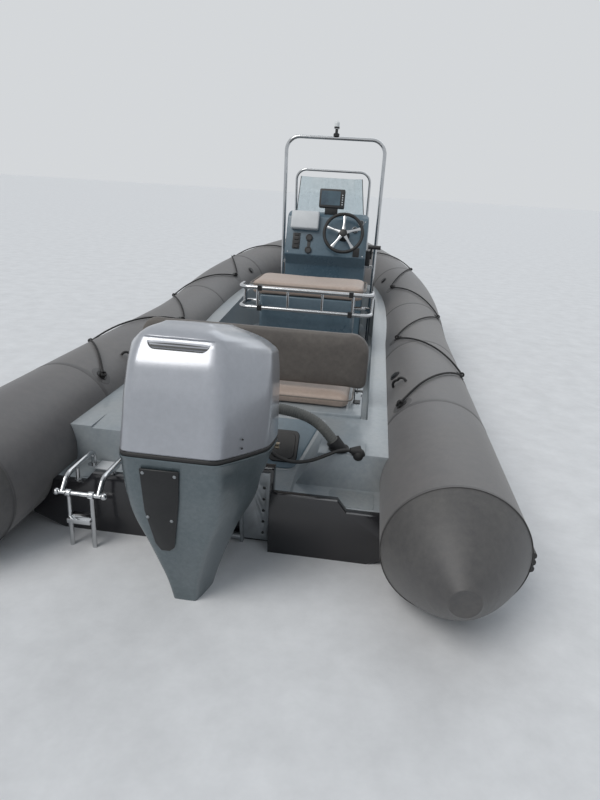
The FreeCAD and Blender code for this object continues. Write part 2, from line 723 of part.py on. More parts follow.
backrest = outline_body(
    "stern_backrest", "XZ_Plane",
    [("-backrest_width / 2", "backrest_low"), ("backrest_width / 2", "backrest_low"),
     ("backrest_width / 2", "backrest_high"), ("-backrest_width / 2", "backrest_high")],
    "backrest_thick")
put(backrest, 0, "backrest_aft + backrest_thick", 0)
round_edges(backrest, "backrest_corner",
            lambda edge: along(Y_AXIS)(edge) and edge.BoundBox.ZMin > size("backrest_high") - 5)
round_edges(backrest, "pad_corner",
            lambda edge: along(Y_AXIS)(edge) and edge.BoundBox.ZMax < size("backrest_low") + 5)
round_edges(backrest, "pad_edge", not_along(Y_AXIS))
keep(backrest, "stern_backrest")

HINGE_Y = size("backrest_aft") + size("backrest_thick") + size("hinge_ahead")
HINGE_Z = size("hinge_height")
BENCH_TOP = size("bench_box_top")


def side_plate(points, inner, thick):
    """A flat plate across X, drawn in Y and Z."""
    return face([V(inner, y, z) for y, z in points]).extrude(V(thick, 0, 0))


def hinge_stand():
    """Starboard plate up from the bench box, with its foot and the pin that the backrest turns on."""
    inner = size("hinge_side")
    thick = size("hinge_plate")
    eye = size("hinge_pin") + 8
    plate = side_plate([
        (HINGE_Y - 26, BENCH_TOP), (HINGE_Y + 26, BENCH_TOP),
        (HINGE_Y + eye, HINGE_Z), (HINGE_Y - eye, HINGE_Z)], inner, thick)
    head = Part.makeCylinder(eye, thick, V(inner, HINGE_Y, HINGE_Z), X_AXIS)
    foot = Part.makeBox(36, 52, 5, V(inner, HINGE_Y - 26, BENCH_TOP))
    pin = Part.makeCylinder(size("hinge_pin"), 2 * thick + size("hinge_space") + 4, V(inner, HINGE_Y, HINGE_Z), X_AXIS)
    return plate.fuse([head, foot, pin]).removeSplitter()


def hinge_arm():
    """Starboard arm from the pin up to a flange under the backrest."""
    inner = size("hinge_side") + size("hinge_plate") + size("hinge_space")
    thick = size("hinge_plate")
    eye = size("hinge_pin") + 8
    low = size("backrest_low")
    middle = size("backrest_aft") + size("backrest_thick") / 2
    plate = side_plate([
        (middle - 12, low), (middle - 12, low - 8), (HINGE_Y, HINGE_Z - eye), (HINGE_Y + eye, HINGE_Z),
        (HINGE_Y + 2, low)], inner, thick)
    head = Part.makeCylinder(eye, thick, V(inner, HINGE_Y, HINGE_Z), X_AXIS)
    flange = Part.makeBox(34, 24, 5, V(inner, middle - 12, low - 5))
    hole = Part.makeCylinder(size("hinge_pin") + size("hinge_slack"), 60, V(inner - 20, HINGE_Y, HINGE_Z), X_AXIS)
    return plate.fuse([head, flange]).cut(hole).removeSplitter()


solid("backrest_hinge_stands", Part.makeCompound([hinge_stand(), mirrored(hinge_stand())]))
solid("backrest_hinge_arms", Part.makeCompound([hinge_arm(), mirrored(hinge_arm())]))


# Helm seat: moulded box, cushion and a stainless rail round its back.

helm_box = outline_body(
    "helm_seat_box", "YZ_Plane",
    [("helm_box_aft + 20", FLOOR_TOP), ("helm_box_aft + helm_box_length - 60", FLOOR_TOP),
     ("helm_box_aft + helm_box_length", "helm_box_top - 220"),
     ("helm_box_aft + helm_box_length", "helm_box_top"), ("helm_box_aft", "helm_box_top")],
    "2 * helm_box_half", True)
put(helm_box, "helm_centre", 0, 0)
round_edges(helm_box, 24, lambda edge: not along(X_AXIS)(edge) and edge.BoundBox.ZLength > 100)
keep(helm_box, "helm_seat_box")

helm_pad = outline_body(
    "helm_seat_cushion", "XY_Plane",
    [("-helm_pad_half", "helm_box_aft - 15"), ("helm_pad_half", "helm_box_aft - 15"),
     ("helm_pad_half", "helm_box_aft - 15 + helm_pad_length"),
     ("-helm_pad_half", "helm_box_aft - 15 + helm_pad_length")],
    "helm_pad_thick")
put(helm_pad, "helm_centre", 0, "helm_box_top")
round_edges(helm_pad, "pad_corner", along(Z_AXIS))
round_edges(helm_pad, "pad_edge", not_along(Z_AXIS))
keep(helm_pad, "helm_seat_cushion")


def helm_rail():
    """Two bent rails round the back of the helm seat, joined by uprights."""
    centre = size("helm_centre")
    half = size("helm_rail_half")
    aft = size("helm_rail_aft")
    fore = size("helm_rail_fore")
    low = size("helm_rail_low")
    high = size("helm_rail_high")
    box_side = size("helm_box_half")
    radius = size("rail_radius")
    lower = pipe([
        V(centre - box_side, fore, low), V(centre - half, fore, low), V(centre - half, aft, low),
        V(centre + half, aft, low), V(centre + half, fore, low), V(centre + box_side, fore, low),
    ], [50, 70, 70, 50], radius)
    upper = pipe([
        V(centre - half, fore - 60, low), V(centre - half, fore - 60, high), V(centre - half, aft, high),
        V(centre + half, aft, high), V(centre + half, fore - 60, high), V(centre + half, fore - 60, low),
    ], [50, 70, 70, 50], radius)
    bars = [
        Part.makeCylinder(radius * 0.7, high - low, V(centre + half * share, aft, low))
        for share in (-0.72, -0.26, 0.26, 0.72)
    ]
    return lower.fuse([upper] + bars)


solid("helm_seat_rail", helm_rail())


# Console with its dash, hoops, windscreen and instruments.

console = outline_body(
    "console", "YZ_Plane",
    [("console_aft", FLOOR_TOP), ("console_aft", "console_knee"), ("dash_aft", "dash_low"),
     ("dash_top_aft", "dash_top"), ("dash_top_aft + 70", "console_crown"),
     ("dash_top_aft + 420", "console_crown - 90"), ("console_nose - 90", "console_crown - 520"),
     ("console_nose", FLOOR_TOP)],
    "2 * console_half", True)
put(console, "helm_centre", 0, 0)
round_edges(console, 40, lambda edge: not along(X_AXIS)(edge) and edge.CenterOfMass.y > size("console_aft") + 120)
round_edges(console, 14, lambda edge: along(X_AXIS)(edge) and edge.BoundBox.ZMin > size("console_crown") - 30)
keep(console, "console")

DASH_RUN = size("dash_top_aft") - size("dash_aft")
DASH_RISE = size("dash_top") - size("dash_low")
DASH_LEAN = math.degrees(math.atan2(DASH_RUN, DASH_RISE))


def dash_y(height):
    """The dash's face at a height."""
    return size("dash_aft") + (height - size("dash_low")) * DASH_RUN / DASH_RISE


def on_dash(shape, across, height):
    """Set a shape built round the origin, facing aft, onto the leaning dash."""
    shape.rotate(ORIGIN, X_AXIS, -DASH_LEAN)
    shape.translate(V(size("helm_centre") + across, dash_y(height), height))
    return shape


def dash_fitting(label, across, height, wide, high, deep, corner):
    """A rounded box standing out of the leaning dash, with its sizes and place tied to the sheet."""
    body = outline_body(label, "XZ_Plane", [
        (f"-{wide} / 2", f"-{high} / 2"), (f"{wide} / 2", f"-{high} / 2"),
        (f"{wide} / 2", f"{high} / 2"), (f"-{wide} / 2", f"{high} / 2")], deep)
    body.Placement = FreeCAD.Placement(ORIGIN, FreeCAD.Rotation(X_AXIS, -DASH_LEAN))
    lean = "(dash_top_aft - dash_aft) / (dash_top - dash_low)"
    put(body, f"helm_centre + {across}", f"dash_aft + ({height} - dash_low) * {lean}", height)
    round_edges(body, corner, along(Y_AXIS))
    return keep(body, label)


def dash_round(radius, deep):
    """A round fitting standing out of the dash."""
    return Part.makeCylinder(radius, deep, V(0, 0, 0), V(0, -1, 0))


dash_fitting("instrument_cover", "cover_across", "cover_up", "cover_wide", "cover_high", "cover_deep", 16)
dash_fitting("switch_panel", "switches_across", "switches_up", "switches_wide", "switches_high", "switches_deep", 6)
plotter = outline_body("plotter", "XZ_Plane", [
    ("-plotter_wide / 2", 0), ("plotter_wide / 2", 0),
    ("plotter_wide / 2", "plotter_high"), ("-plotter_wide / 2", "plotter_high")], "plotter_deep")
plotter.Placement = FreeCAD.Placement(ORIGIN, FreeCAD.Rotation(X_AXIS, -size("plotter_lean")))
put(plotter, "helm_centre + plotter_across", "plotter_back", "plotter_low")
round_edges(plotter, 12, along(Y_AXIS))
keep(plotter, "plotter")
plotter_foot = box(
    "plotter_foot", "plotter_wide / 2", 34, 100,
    "helm_centre + plotter_across - plotter_wide / 4", "plotter_back - 40", "plotter_low - 80")
keep(cut("plotter_bracket", plotter_foot, console, plotter), "plotter_bracket")
gauge_row = [
    on_dash(dash_round(26, 7), across, height) for across, height in ((292, 1238), (244, 1180))
]
solid("gauges", Part.makeCompound(gauge_row))
key_plate = Part.makeBox(26, 6, 96, V(-13, -6, -48))
key_rounds = [dash_round(29, 14), dash_round(29, 14)]
key_rounds[0].translate(V(0, 0, 52))
key_rounds[1].translate(V(0, 0, -52))
solid("key_switch", on_dash(key_plate.fuse(key_rounds).removeSplitter(), -149, 1040))

wheel_y = dash_y(size("wheel_height"))
WHEEL_LEAN = math.radians(DASH_LEAN)
WHEEL_AXIS = V(0, math.cos(WHEEL_LEAN), -math.sin(WHEEL_LEAN))
WHEEL_FOOT = V(size("wheel_offset"), wheel_y, size("wheel_height"))
WHEEL_CENTRE = WHEEL_FOOT - WHEEL_AXIS * size("wheel_stand")


def steering_wheel():
    """Round rim, dished spokes and a hub, turned about the helm shaft."""
    rim_radius = size("wheel_radius")
    rim = Part.makeTorus(rim_radius, size("wheel_rim"), WHEEL_CENTRE, WHEEL_AXIS)
    hub = Part.makeCylinder(34, 42, WHEEL_CENTRE - WHEEL_AXIS * 6, WHEEL_AXIS)
    count = int(size("wheel_spokes"))
    spokes = []
    for index in range(count):
        spoke = Part.makeBox(rim_radius - 18, 26, 7, V(20, -13, -3.5))
        spoke.rotate(ORIGIN, Z_AXIS, 90 + 360 * index / count)
        spokes.append(spoke)
    web = spokes[0].fuse(spokes[1:])
    web.Placement = FreeCAD.Placement(WHEEL_CENTRE, FreeCAD.Rotation(Z_AXIS, WHEEL_AXIS * -1))
    return rim.fuse([web, hub])


solid("steering_wheel", steering_wheel())
helm_boss = doc.addObject("Part::Cone", "helm_boss")
bind(helm_boss, Radius1=52, Radius2=30, Height="wheel_stand - 37")
helm_boss.Placement = FreeCAD.Placement(ORIGIN, FreeCAD.Rotation(Z_AXIS, WHEEL_AXIS * -1))
put(
    helm_boss, "wheel_offset",
    "dash_aft + (wheel_height - dash_low) * (dash_top_aft - dash_aft) / (dash_top - dash_low)", "wheel_height")
keep(helm_boss, "helm_boss")


def throttle_control():
    """Engine control on the console's starboard side: a box, a lever and a cross grip."""
    side = size("helm_centre") + size("console_half")
    case = Part.makeBox(40, 120, 130, V(side, 3196, 880))
    case = case.makeFillet(14, [edge for edge in case.Edges if along(X_AXIS)(edge)])
    pivot = V(side + 34, 3256, 960)
    grip = V(side + 34, 3176, 1047)
    hub = Part.makeCylinder(26, 20, pivot, X_AXIS)
    lever = Part.makeCylinder(9, (grip - pivot).Length, pivot + V(12, 0, 0), grip - pivot)
    bar = Part.makeCylinder(17, 110, grip - V(18, 0, 0), X_AXIS)
    return case.fuse([hub, lever, bar]).removeSplitter()


solid("throttle_control", throttle_control())


def hoop(half, foot, top, lean, radius):
    """A bent tube standing on the floor, leaning aft above the console's knee."""
    centre = size("helm_centre")
    floor = size("deck_under") + size("floor_thick")
    knee = size("dash_low")
    bend = size("hoop_bend")
    return pipe([
        V(centre - half, foot, floor), V(centre - half, foot, knee), V(centre - half, foot - lean, top),
        V(centre + half, foot - lean, top), V(centre + half, foot, knee), V(centre + half, foot, floor),
    ], [bend, bend, bend, bend], radius)


def hoop_clamps():
    """Pads that hold the outer hoop to the console's sides."""
    pads = []
    inner = size("console_half")
    reach = size("hoop_half") - size("hoop_radius") * 0.6 - inner
    for side in (-1, 1):
        for height in (420, 820):
            x = size("helm_centre") + (inner if side > 0 else -inner - reach)
            pads.append(Part.makeBox(reach, 30, 26, V(x, size("hoop_foot") - 15, height)))
    return pads


outer = hoop(size("hoop_half"), size("hoop_foot"), size("hoop_top"), size("hoop_rake"), size("hoop_radius"))
light_foot = V(size("helm_centre"), size("hoop_foot") - size("hoop_rake"), size("hoop_top") + size("hoop_radius") - 3)
solid("console_hoop", outer.fuse(hoop_clamps()))
light = Part.makeCone(24, 20, 22, light_foot).fuse([
    Part.makeCylinder(11, 62, light_foot), Part.makeCylinder(22, 44, light_foot + V(0, 0, 60)),
    Part.makeSphere(22, light_foot + V(0, 0, 104))])
light = light.cut(outer)
solid("all_round_light", max(light.Solids, key=lambda piece: piece.Volume))

SCREEN_FOOT_Y = size("dash_top_aft") + 420
SCREEN_FOOT_Z = size("console_crown") - 90
SCREEN_HEAD_Y = size("dash_top_aft") + 300


def screen_hoop():
    """The tube that frames the windscreen, standing on the console's crown."""
    centre = size("helm_centre")
    half = size("inner_hoop_half")
    top = size("inner_hoop_top")
    foot_y = SCREEN_FOOT_Y - 110
    foot_z = SCREEN_FOOT_Z + 110 * 90 / 350
    return pipe([
        V(centre - half, foot_y, foot_z), V(centre - half, SCREEN_HEAD_Y - 70, top),
        V(centre + half, SCREEN_HEAD_Y - 70, top), V(centre + half, foot_y, foot_z),
    ], [90, 90], 11)


def windscreen():
    """A clear sheet wrapped round the front of the console: middle pane and two swept sides."""
    centre = size("helm_centre")
    half = size("inner_hoop_half") - 16
    thick = size("screen_thick")
    low = SCREEN_FOOT_Z + 4
    high = size("inner_hoop_top") - 60
    foot_y = SCREEN_FOOT_Y - 60
    head_y = SCREEN_HEAD_Y - 40
    middle_low = half * 0.72
    wires = []
    for height, station, spread in ((low, foot_y, 1.0), (high, head_y, 0.86)):
        outer_half = half * spread
        inner_half = middle_low * spread
        points = [
            (-outer_half, station - 190), (-inner_half, station), (inner_half, station),
            (outer_half, station - 190), (outer_half - thick, station - 190 - thick * 0.3),
            (inner_half - thick * 0.4, station - thick), (-inner_half + thick * 0.4, station - thick),
            (-outer_half + thick, station - 190 - thick * 0.3)]
        wires.append(polygon([V(centre + x, y, height) for x, y in points]))
    made = Part.makeLoft(wires, True, True)
    return made


screen_tube = screen_hoop()
glazing = windscreen().cut([console.Shape, screen_tube])
solid("windscreen", max(glazing.Solids, key=lambda piece: piece.Volume))
screen_tube = screen_tube.cut(console.Shape)
solid("windscreen_hoop", max(screen_tube.Solids, key=lambda piece: piece.Volume))


# Outboard engine. The cover is drawn in a frame that leans towards the bow: its sections are square
# to the lean, and the lowest edge of the rear face on the cowl split is its origin.
# Columns: height, rear, front, rear half-width, widest half-width, station of the side crease, front half-width.

def rear_line(height):
    """The straight rear edge of the lower cowl."""
    return -530 + (size("split_rear") - height) * 0.2038


TRAY = size("tray_under")
COVER_SECTIONS = (
    (-200, 89, 600, 158, 256, 300, 240),
    (0, 0, 610, 158, 274, 300, 266),
    (200, 2, 606, 153, 268, 300, 258),
    (300, 16, 598, 148, 262, 302, 250),
    (355, 40, 588, 142, 255, 304, 242),
    (394, 58, 556, 132, 208, 306, 186),
    (418, 92, 490, 108, 140, 306, 120),
    (434, 150, 400, 70, 88, 290, 78),
)
COVER_ORIGIN = V(0, -530, size("split_rear"))
APRON_SECTIONS = (
    (TRAY, rear_line(TRAY), -116, 156, 258, -250, 140),
    (410, rear_line(410), -116, 146, 240, -250, 126),
    (300, rear_line(300), -116, 106, 176, -252, 96),
    (100, -396, -116, 56, 104, -252, 68),
    (-20, -368, -118, 40, 72, -250, 50),
)
# Columns as above, in the boat's own frame.
STRUT_SECTIONS = (
    (-20, -368, -118, 40, 72, -250, 50),
    (-270, -350, -118, 12, 46, -240, 22),
    (-440, -345, -112, 10, 40, -236, 18),
)


def plan_wire(height, rear, front, rear_half, wide_half, crease, front_half, wall=0.0):
    """A level section of the engine: bowed rear and front, and sides that meet at a crease."""
    rear += wall
    front -= wall
    rear_half -= wall
    wide_half -= wall
    front_half -= wall
    bow = 0.018 * (front - rear)
    right = [
        Part.Arc(V(-rear_half, rear, height), V(0, rear - bow / 3, height), V(rear_half, rear, height)),
        Part.Arc(
            V(rear_half, rear, height),
            V((rear_half + wide_half) / 2 + bow, (rear + crease) / 2 - bow, height),
            V(wide_half, crease, height)),
        Part.Arc(
            V(wide_half, crease, height),
            V((wide_half + front_half) / 2 + bow, (crease + front) / 2, height),
            V(front_half, front, height)),
        Part.Arc(V(front_half, front, height), V(0, front + bow / 2, height), V(-front_half, front, height)),
        Part.Arc(
            V(-front_half, front, height),
            V(-(wide_half + front_half) / 2 - bow, (crease + front) / 2, height),
            V(-wide_half, crease, height)),
        Part.Arc(
            V(-wide_half, crease, height),
            V(-(rear_half + wide_half) / 2 - bow, (rear + crease) / 2 - bow, height),
            V(-rear_half, rear, height)),
    ]
    return Part.Wire([edge.toShape() for edge in right])


def stack(sections, wall=0.0):
    """A solid through plan sections, each smaller all round by a wall."""
    last = sections[-1][0]
    wires = []
    for row in sections:
        lowered = row[0] - (wall if row[0] == last else 0)
        wires.append(plan_wire(lowered, *row[1:], wall=wall))
    return Part.makeLoft(wires, True, True)


def leaning(shape):
    """Set a shape drawn in the cover's frame into the boat."""
    shape.rotate(ORIGIN, X_AXIS, -size("cover_lean"))
    shape.translate(COVER_ORIGIN)
    return shape


def cover_stack(wall=0.0):
    """The cover's solid, smaller all round by a wall, down to the underside of the tray."""
    under = Part.makeBox(1400, 1800, 900, V(-700, -1000, TRAY - 900))
    return leaning(stack(COVER_SECTIONS, wall)).cut(under)


def below_split(offset):
    """Everything under the plane between the cowls, moved up by an offset."""
    return leaning(Part.makeBox(1200, 1500, 900, V(-600, -400, offset - 900)))


SEAL = size("seal_height") / 2
WALL = size("cowl_wall")
cover = cover_stack()
cavity = cover_stack(WALL)
upper = cover.cut([cavity, below_split(SEAL)])
INTAKE_HALF = 106
INTAKE_LOW = 338
INTAKE_HIGH = 384
intake_mouth = Part.makeBox(
    2 * INTAKE_HALF, 80, INTAKE_HIGH - INTAKE_LOW, V(-INTAKE_HALF, 10, INTAKE_LOW))
upper_shape = upper.cut(leaning(intake_mouth))
solid("upper_cowl", max(upper_shape.Solids, key=lambda piece: piece.Volume))
fit = size("bond_gap")
intake = Part.makeBox(
    2 * (INTAKE_HALF - fit), 90, INTAKE_HIGH - INTAKE_LOW - 2 * fit, V(fit - INTAKE_HALF, 10, INTAKE_LOW + fit))
slots = [Part.makeBox(196, 70, 5, V(-98, 10, INTAKE_LOW + 7 + 10 * index)) for index in range(4)]
solid("air_intake", leaning(intake.cut(slots)).common(cover_stack(4)))

inset = cover_stack(3).cut(cover_stack(14))
seal = inset.cut(below_split(-SEAL)).common(below_split(SEAL))
solid("cowl_seal", seal)

tray = cover.common(below_split(-SEAL))
tray_pocket = cover_stack(14)
tray_pocket = tray_pocket.cut(Part.makeBox(1200, 1600, 30, V(-600, -900, TRAY)))
apron = stack(APRON_SECTIONS)
king_low = -25
king_high = 457
steer_y = -size("steer_back")
king_pin = Part.makeCylinder(22, king_high - king_low, V(0, steer_y, king_low))
upper_yoke = Part.makeCylinder(52, TRAY - king_high, V(0, steer_y, king_high))
upper_yoke = upper_yoke.fuse(Part.makeBox(104, 62, TRAY - king_high, V(-52, steer_y - 62, king_high)))
lower_yoke = Part.makeCylinder(46, 46, V(0, steer_y, king_low - 46))
lower_yoke = lower_yoke.fuse(Part.makeBox(92, 70, 46, V(-46, steer_y - 70, king_low - 46)))
lower_shape = tray.cut(tray_pocket).fuse([apron, upper_yoke, king_pin])
solid("lower_cowl", lower_shape.removeSplitter())

panel_points = [
    (-97, 624), (36, 626), (24, 490), (-6, 292), (-24, 274), (-56, 274), (-74, 305), (-98, 450)]
panel_normal = V(0, -1, -0.2038).normalize()
panel = face([V(x, rear_line(z), z) + panel_normal * 4.2 for x, z in panel_points])
panel = panel.extrude(panel_normal * 7)
solid("service_panel", panel.cut([apron, tray]))


PROP_SHAFT = 13


def gearcase():
    """Strut, anti-ventilation plate, torpedo and skeg under the lower cowl."""
    plate_z = -size("plate_depth") - 5
    shaft = -size("shaft_depth")
    plate = face([
        V(-46, -120, plate_z), V(-112, -420, plate_z), V(-92, -540, plate_z),
        V(92, -540, plate_z), V(112, -420, plate_z), V(46, -120, plate_z)]).extrude(V(0, 0, 10))
    outline = Part.Wire([
        Part.LineSegment(V(0, -30, shaft), V(0, -425, shaft)).toShape(),
        Part.LineSegment(V(0, -425, shaft), V(46, -425, shaft)).toShape(),
        Part.Arc(V(46, -425, shaft), V(56, -300, shaft), V(46, -130, shaft)).toShape(),
        Part.Arc(V(46, -130, shaft), V(30, -62, shaft), V(0, -30, shaft)).toShape(),
    ])
    torpedo = Part.Face(outline).revolve(V(0, 0, shaft), Y_AXIS, 360)
    tip = -size("skeg_depth")
    skeg = side_plate([
        (-150, shaft - 30), (-345, shaft - 30), (-400, tip + 60), (-385, tip), (-300, tip)], -6, 12)
    shaft_bar = Part.makeCylinder(PROP_SHAFT, 200, V(0, -594, shaft), Y_AXIS)
    strut = stack(tuple(reversed(STRUT_SECTIONS)))
    return strut.fuse([plate, torpedo, skeg, lower_yoke, shaft_bar]).removeSplitter()


solid("gearcase", gearcase())
powerhead = box(
    "powerhead", "powerhead_wide", "powerhead_long", "powerhead_high",
    "-powerhead_wide / 2", "-powerhead_aft", "tray_under + 30")
keep(powerhead, "powerhead")


def blade(angle):
    """One propeller blade: a few flat sections twisted by the pitch, with a swept tip."""
    wires = []
    hub = size("prop_hub")
    tip = size("prop_radius")
    pitch = size("prop_pitch")
    for share, chord, thick in ((0.0, 96, 11), (0.35, 132, 8), (0.7, 128, 6), (1.0, 46, 3)):
        radius = hub - 8 + (tip - hub + 8) * share
        twist = math.degrees(math.atan2(pitch, 2 * math.pi * radius))
        sweep = 24 * share * share
        points = [
            V(-chord / 2, 0, 0), V(-chord / 6, thick / 2, 0), V(chord / 4, thick / 2, 0),
            V(chord / 2, 0, 0), V(chord / 4, -thick / 2, 0), V(-chord / 6, -thick / 2, 0)]
        wire = polygon([point + V(sweep, 0, radius) for point in points])
        wire.rotate(V(0, 0, radius), Z_AXIS, -twist)
        wires.append(wire)
    made = Part.makeLoft(wires, True, True)
    made.rotate(ORIGIN, Y_AXIS, angle)
    return made


def propeller():
    """Hub with its blades and a thrust cone, aft of the gearcase."""
    hub = Part.makeCone(size("prop_hub") - 4, size("prop_hub") + 2, 128, V(0, -64, 0), Y_AXIS)
    nut = Part.makeCylinder(22, 26, V(0, -90, 0), Y_AXIS)
    count = int(size("prop_blades"))
    blades = [blade(360 * index / count) for index in range(count)]
    bore = Part.makeCylinder(PROP_SHAFT + 0.2, 400, V(0, -200, 0), Y_AXIS)
    made = hub.fuse([nut] + blades).cut(bore)
    made.translate(V(0, -496, -size("shaft_depth")))
    return made


solid("propeller", propeller())

TILT = V(0, size("tilt_forward"), size("tilt_height"))


def swivel_bracket():
    """Tilt tube, saddle and the upright tube that the engine steers in."""
    tube = Part.makeCylinder(30, 224, TILT - V(112, 0, 0), X_AXIS)
    upright = Part.makeCylinder(45, king_high - king_low - 10, V(0, steer_y, king_low + 5))
    saddle = side_plate([
        (TILT.y, TILT.z - 30), (TILT.y, TILT.z + 30), (steer_y, TILT.z + 30),
        (steer_y, 120), (steer_y + 30, 160)], -44, 88)
    bore = Part.makeCylinder(22.1, 900, V(0, steer_y, -200))
    pin_bore = Part.makeCylinder(16.1, 400, TILT - V(200, 0, 0), X_AXIS)
    return tube.fuse([upright, saddle]).cut([bore, pin_bore]).removeSplitter()


def clamp_bracket():
    """Two side plates with flanges on the transom, joined by the tilt pin and a tie tube."""
    face_y = size("mount_face")
    plate_in = 118
    shapes = []
    side = side_plate([
        (TILT.y + 38, TILT.z), (face_y, size("mount_top")), (face_y, -20), (face_y - 26, -20),
        (28, 100), (TILT.y - 38, TILT.z)], plate_in, 12)
    eye = Part.makeCylinder(38, 12, V(plate_in, TILT.y, TILT.z), X_AXIS)
    flange = Part.makeBox(120, 12, 330, V(plate_in, face_y - 12, 14))
    holes = [
        Part.makeCylinder(7, 30, V(214, face_y - 20, 50 + 56 * index), Y_AXIS) for index in range(5)]
    shapes.append(side.fuse([eye, flange]).cut(holes))
    shapes.append(mirrored(shapes[0]))
    pin = Part.makeCylinder(16, 276, TILT - V(138, 0, 0), X_AXIS)
    tie = Part.makeCylinder(14, 236, V(-118, 52, 30), X_AXIS)
    return shapes[0].fuse([shapes[1], pin, tie]).removeSplitter()


CYLINDER = V(0, 90, 470)
ELBOW_FOOT = CYLINDER + V(136, 0, 0)
ELBOW_WAY = V(0.80, 0.45, -0.40).normalize()
HELM_LINE_END = ELBOW_FOOT + ELBOW_WAY * 38


def steering_cylinder():
    """Cross cylinder on two saddles over the tilt tube, with its rod out both sides."""
    centre = CYLINDER
    barrel = Part.makeCylinder(23, 320, centre - V(160, 0, 0), X_AXIS)
    rod_bar = Part.makeCylinder(9, 520, centre - V(260, 0, 0), X_AXIS)
    caps = [Part.makeCylinder(26, 14, centre + V(x, 0, 0), X_AXIS) for x in (-160, 146)]
    eyes = [Part.makeCylinder(15, 16, centre + V(x, 0, 0), X_AXIS) for x in (-268, 252)]
    eyes.append(Part.makeCylinder(11, 38, ELBOW_FOOT, ELBOW_WAY))
    saddles = [
        side_plate([(TILT.y - 8, TILT.z + 28), (TILT.y + 24, TILT.z + 10), (96, 452), (78, 480)], x, 22)
        for x in (-92, 70)]
    clear = Part.makeCylinder(30.3, 300, TILT - V(150, 0, 0), X_AXIS)
    return barrel.fuse([rod_bar] + caps + eyes + saddles).cut(clear).removeSplitter()


solid("swivel_bracket", swivel_bracket())
solid("clamp_bracket", clamp_bracket())
solid("steering_cylinder", steering_cylinder())


# Boarding ladder to port: fixed rails over the stern edge, hinge bar with knobs, and the swinging ladder.

LADDER_X = -size("ladder_offset")
PIVOT = V(LADDER_X, -size("ladder_pivot_back"), size("ladder_pivot_height"))
LADDER_BAR = 9


def ladder_rails():
    """Two bent rails from the platform over the stern edge, with feet, posts and the hinge bar."""
    deck = size("platform_top")
    tube = size("ladder_rail_tube")
    shapes = []
    for side in (-1, 1):
        x = LADDER_X + side * size("ladder_rail_half")
        shapes.append(pipe([
            V(x, 176, deck), V(x, 176, deck + 72), V(x, -70, deck + 72), V(x, PIVOT.y, PIVOT.z)],
            [34, 60], tube))
        shapes.append(Part.makeCylinder(28, 5, V(x, 176, deck)))
        edge = size("transom_edge_top") if abs(x) < size("transom_step_in") else deck
        shapes.append(Part.makeCylinder(9, deck + 72 - edge, V(x, 22, edge)))
        shapes.append(Part.makeCylinder(16, 5, V(x, 22, edge)))
        shapes.append(Part.makeSphere(15, PIVOT + V(side * (size("ladder_rail_half") + 24), 0, 0)))
    reach = size("ladder_rail_half") + 22
    bar = Part.makeCylinder(LADDER_BAR, 2 * reach, PIVOT - V(reach, 0, 0), X_AXIS)
    return bar.fuse(shapes).removeSplitter()


def boarding_ladder():
    """Stiles with eyes on the hinge bar, and flat treads."""
    shapes = []
    half = size("ladder_half")
    tube = size("ladder_tube")
    for side in (-1, 1):
        x = side * half
        shapes.append(Part.makeCylinder(
            tube, size("ladder_length") - 12, PIVOT - V(-x, 0, 12), V(0, 0, -1)))
        shapes.append(Part.makeCylinder(16, 2 * tube + 2, PIVOT + V(x - tube - 1, 0, 0), X_AXIS))
    for index in range(int(size("ladder_steps"))):
        drop = 125 + index * size("ladder_step_pitch")
        shapes.append(Part.makeBox(2 * half, 64, 20, PIVOT + V(-half, -32, -drop)))
    bore = Part.makeCylinder(LADDER_BAR + 0.1, 400, PIVOT - V(200, 0, 0), X_AXIS)
    return shapes[0].fuse(shapes[1:]).cut(bore).removeSplitter()


solid("ladder_rails", ladder_rails())
solid("boarding_ladder", boarding_ladder())


# Grab lines: one rope each side, zigzagging over the tube between inboard and outboard eyelets.

def tube_frame(run):
    """Centre, outboard direction and upward direction of the starboard tube, at a run from the origin."""
    level = size("sheer_start")
    centre = V(size("tube_offset"), run, size("tube_height"))
    if run <= level:
        return centre, X_AXIS, Z_AXIS
    bend = SHEER_RADIUS * SHEER
    if run <= level + bend:
        angle = (run - level) / SHEER_RADIUS
        up = V(0, -math.sin(angle), math.cos(angle))
        centre = V(centre.x, level, centre.z + SHEER_RADIUS) - up * SHEER_RADIUS
        return centre, X_AXIS, up
    angle = (run - level - bend) / size("shoulder_radius")
    out = V(math.cos(angle), 0, 0) + SLOPE_ALONG * math.sin(angle)
    centre = SHEER_END - V(size("shoulder_radius"), 0, 0) + out * size("shoulder_radius")
    return centre, out, SLOPE_UP


def on_tube(run, angle, reach):
    """A point round the starboard tube: angle 0 is outboard, 90 is the top, 180 is inboard."""
    centre, out, up = tube_frame(run)
    turn = math.radians(angle)
    return centre + out * (reach * math.cos(turn)) + up * (reach * math.sin(turn))


INBOARD = 132
OUTBOARD = 40
# Columns: run along the tube, angle round it.
EYELETS = (
    (690, INBOARD), (1350, OUTBOARD), (2090, INBOARD), (3000, OUTBOARD),
    (3780, INBOARD), (4560, OUTBOARD), (5200, INBOARD),
)
LINE_STEPS = 5
LINE_REACH = size("tube_radius") + size("line_radius") + 9
PATCH_ROOT = 22
PATCH_THICK = 4


def grab_line_points():
    """Route of the starboard grab line, from the aft eyelet forward."""
    points = []
    for (run, angle), (next_run, next_angle) in zip(EYELETS, EYELETS[1:]):
        for step in range(LINE_STEPS):
            share = step / LINE_STEPS
            points.append(on_tube(
                run + (next_run - run) * share, angle + (next_angle - angle) * share, LINE_REACH))
    points.append(on_tube(*EYELETS[-1], LINE_REACH))
    return points


line_route = grab_line_points()
line_radii = cord_radii(line_route)
print("grab line arc radii", [round(radius) for radius in line_radii])
grab_line = pipe(line_route, line_radii, size("line_radius"))
solid("grab_line_starboard", grab_line)
solid("grab_line_port", mirrored(grab_line))


